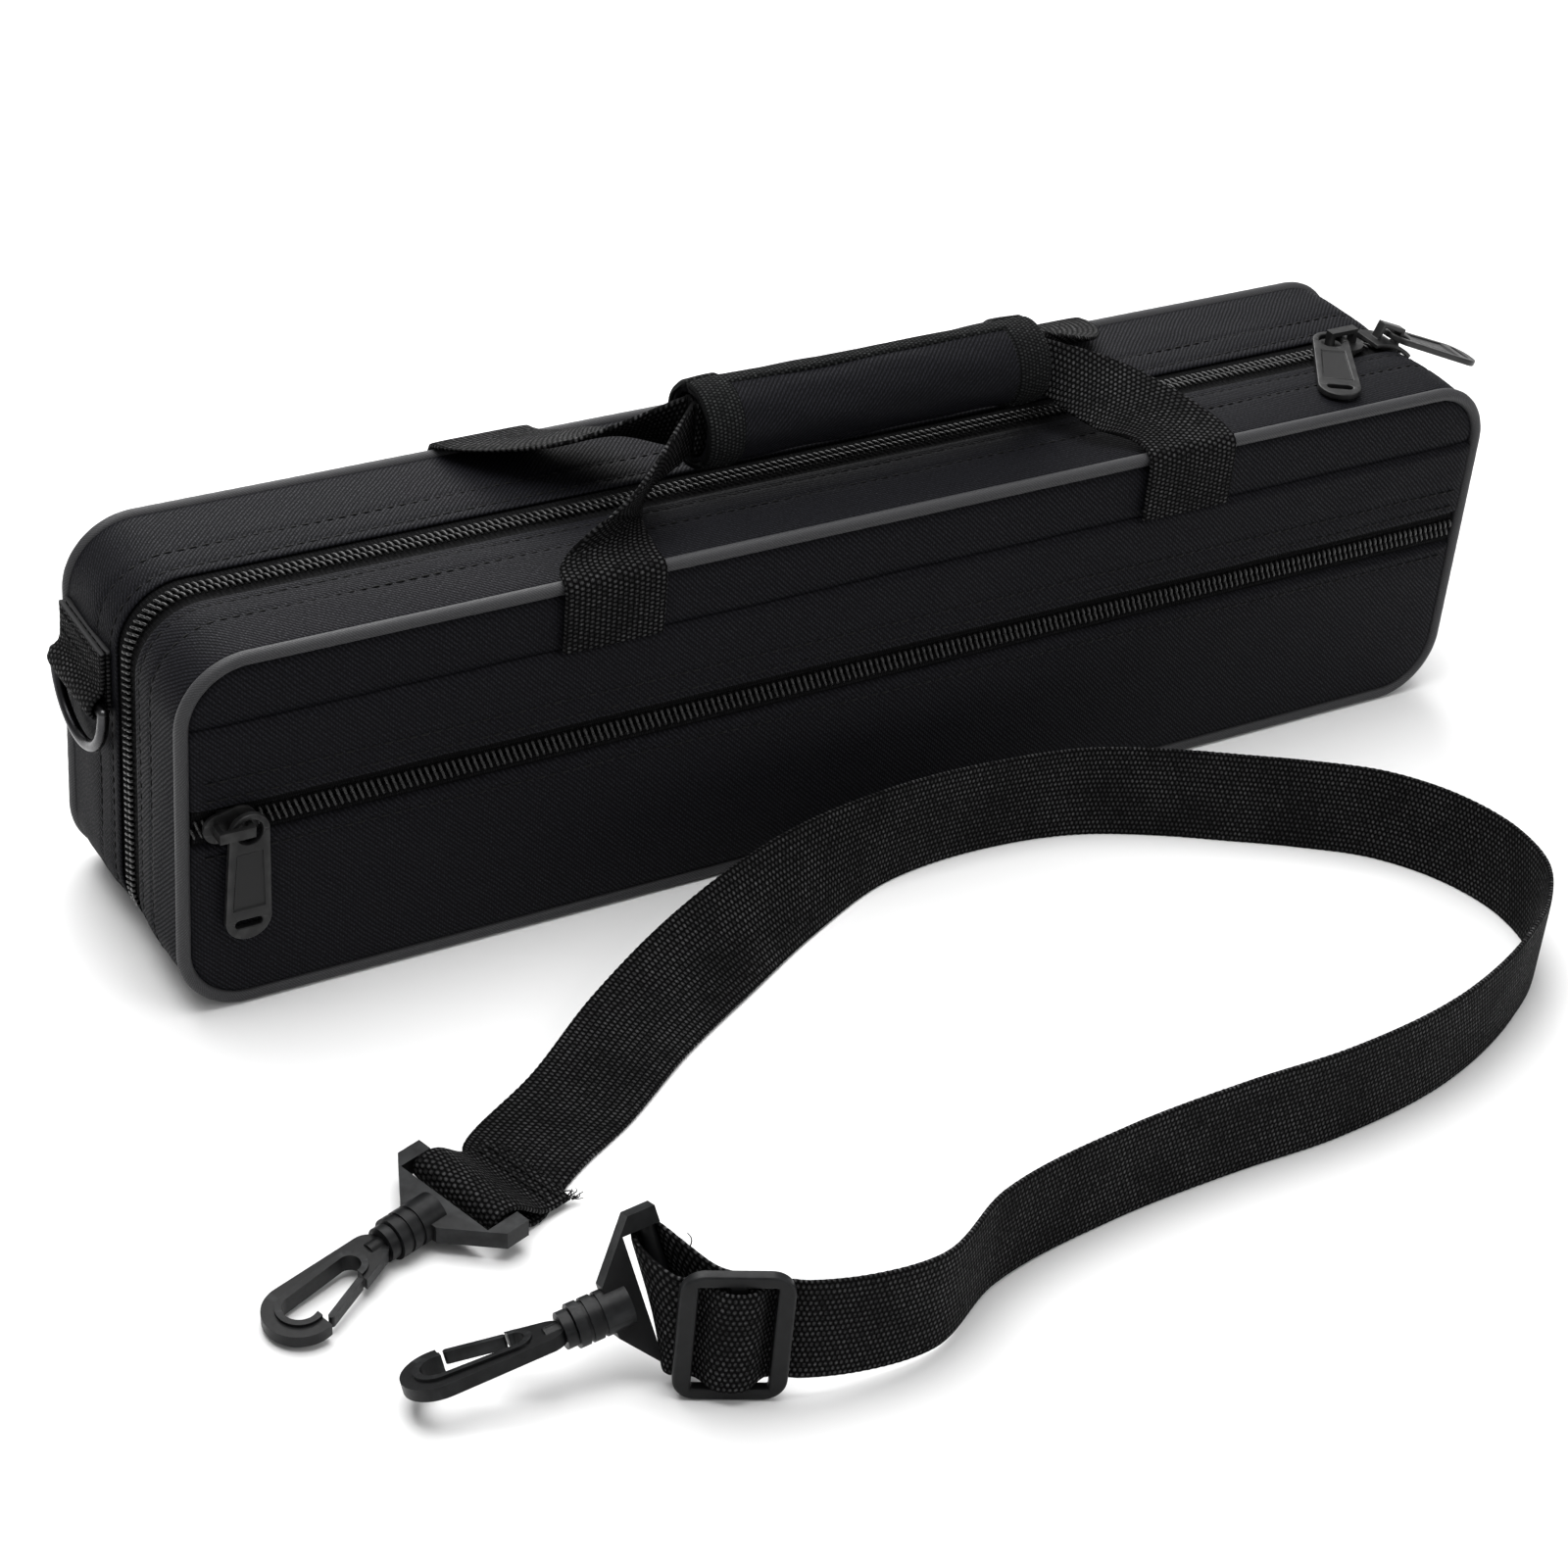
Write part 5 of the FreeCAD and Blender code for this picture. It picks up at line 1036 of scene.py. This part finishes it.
def bed():
    """The padded bed as one sheet over the back half: its depth falls by a half-round trough at
    each channel, rounded at the rims, and drops away at the outline."""
    x, z, away = face_grid(BAND + 3.9 * MM, 0.9 * MM)
    depth = BED_TOP + 2.2 * MM * np.exp(-away / (1.6 * MM)) - 0.25 * MM * (1 - np.exp(-away / (8 * MM)))
    for width, sink, left, right, middle in BED_CHANNELS:
        half = width / 2
        offset = np.abs(z - middle) / half
        fall = sink - half + half * np.sqrt(np.clip(1 - offset ** 2, 0, 1))
        gate = eased(ramp((1 - offset) * half, 1.2) * ramp(x - left, 1.5) * ramp(right - x, 1.5))
        depth = np.maximum(depth, BED_TOP + fall * gate)
    lining("bed_padding", "bed_foam", "back_half", spread(x, depth, z), -1)


def liner():
    """The lid's padded lining: a shallow tray whose face lies deep and whose wall rises to the
    zip with a round rim."""
    x, z, away = face_grid(BAND + 3.8 * MM, 1.3 * MM)
    fall = eased(ramp(away - 3.2 * MM, 3.5))
    depth = LINER_RIM + (LINER_FACE - LINER_RIM) * fall - 1.5 * MM * np.exp(-away / (0.9 * MM))
    depth += 0.7 * MM * ramp(away - 8 * MM, 30) + ripple(x, z, 21, 0.3 * MM) * fall
    lining("lid_padding", "lid_liner", "lid_half", spread(x, depth, z), 1)


# Hard parts, which keep their solids

def hard_part(node, look, bevel):
    """A solid keeps its shape; its loose triangles are welded and its edges rounded."""
    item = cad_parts[node]
    dress(item, look)
    item.modifiers.new("weld", "WELD").merge_threshold = 0.00001
    if bevel:
        adjust(item.modifiers.new("bevel", "BEVEL"), width=bevel, segments=3, limit_method="ANGLE",
               angle_limit=radians(35), harden_normals=False)
    item.data.polygons.foreach_set("use_smooth", [True] * len(item.data.polygons))
    item.modifiers.new("flat_sides", "WEIGHTED_NORMAL").keep_sharp = True


def hard_parts():
    for name in ("main", "corner", "pocket"):
        hard_part(name + "_slider", zip_metal, 0.28 * MM)
        hard_part(name + "_pull", zip_metal, 0.35 * MM)
    for word in ("left", "right"):
        hard_part("hook_base_" + word, hook_plastic, 1.1 * MM)
        hard_part("swivel_hook_" + word, hook_plastic, 0.45 * MM)
        hard_part("hook_gate_" + word, hook_plastic, 0.3 * MM)
        hard_part("d_ring_" + word, ring_metal, 0)
    hard_part("strap_adjuster", hook_plastic, 0.7 * MM)
    for node in ("front_board_tray", "back_board_tray"):
        dress(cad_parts[node], board_foam)


# Putting the case together

for build in (gusset, piping):
    for half in HALVES:
        build(*half)
front_half, back_half = HALVES
panel("pocket_top_cloth", "pocket_top_panel", front_half, SEAM_Z, HEIGHT, 31, lift=-0.1 * MM)
panel("pocket_middle_cloth", "pocket_middle_panel", front_half, SLOT_HIGH, SEAM_Z, 32, (True, True),
      rows=(SLOT_HIGH + 3.5 * MM, SLOT_HIGH + 9 * MM), lift=0.7 * MM)
panel("pocket_lower_cloth", "pocket_lower_panel", front_half, 0, SLOT_LOW, 33, (False, True),
      rows=(SLOT_LOW - 4 * MM,), lift=0.2 * MM)
panel("back_panel_cloth", "back_panel", back_half, 0, HEIGHT, 34, step=2 * MM)
rear_wall()
main_zip()
pocket_zip()
carrying_handle()
ring_tab("left", -1)
ring_tab("right", 1)
STRAP_LENGTH = shoulder_strap()
loose_threads()
bed()
liner()
hard_parts()


# Floor, light and camera

# Each light's place, size and power
LIGHTS = {"over": ((-0.2, 0.1, 1.6), 1.3, 35), "behind": ((0.4, 1.5, 1.2), 1.4, 32),
          "front": ((0.9, -1.4, 1.1), 0.9, 6)}
SURROUND = 0.4
PAPER, PAPER_ROUGH = (0.8, 0.8, 0.8, 1), 0.9
# The fitted camera: azimuth, elevation and roll in degrees, aim, distance, focal length in pixels
CAMERA_ANGLES = (-33.4528, 33.5373, 5.6497)
CAMERA_AIM, CAMERA_DISTANCE = Vector((-0.002727, 0, -0.005245)), 1.055606
FOCAL_PIXELS, PHOTO_PIXELS, SENSOR = 3628.83, 1600, 36


def studio():
    """A pale floor, three large soft lights and a bright even surround."""
    x = np.linspace(-6, 6, 3)
    grid = spread(x[:, None], x, 0)
    floor = surface("floor", grid, grid[..., :2], toward=(0, 0, 5))
    look = bpy.data.materials.new("floor_paper")
    look.use_nodes = True
    feed(look.node_tree.nodes["Principled BSDF"], {"Base Color": PAPER, "Roughness": PAPER_ROUGH})
    floor.data.materials.append(look)
    world = bpy.data.worlds.new("surround")
    world.use_nodes = True
    feed(world.node_tree.nodes["Background"], {"Color": (1, 1, 1, 1), "Strength": SURROUND})
    bpy.context.scene.world = world
    for name, (spot, size, power) in LIGHTS.items():
        light = adjust(bpy.data.lights.new(name, "AREA"), size=size, energy=power)
        turn = (Vector(spot) - Vector((0, 0, 0.05))).to_track_quat("Z", "Y")
        adjust(show("light_" + name, light), location=spot, rotation_mode="QUATERNION",
               rotation_quaternion=turn)


def camera():
    """The camera of the photograph, from its fitted place, view and roll."""
    azimuth, elevation, roll = (radians(angle) for angle in CAMERA_ANGLES)
    back = Vector((sin(azimuth) * cos(elevation), -cos(azimuth) * cos(elevation), sin(elevation)))
    right = Vector((0, 0, 1)).cross(back).normalized()
    up = back.cross(right)
    turned_right = right * cos(roll) + up * sin(roll)
    turned_up = up * cos(roll) - right * sin(roll)
    lens = adjust(bpy.data.cameras.new("camera"), lens=FOCAL_PIXELS / PHOTO_PIXELS * SENSOR,
                  sensor_width=SENSOR, clip_start=0.05, clip_end=30)
    item = show("camera", lens)
    item.matrix_world = Matrix((turned_right, turned_up, back)).transposed().to_4x4()
    item.location = CAMERA_AIM + back * CAMERA_DISTANCE
    bpy.context.scene.camera = item


studio()
camera()
bpy.context.scene.view_settings.view_transform = "Standard"
bpy.context.scene.view_settings.look = "None"
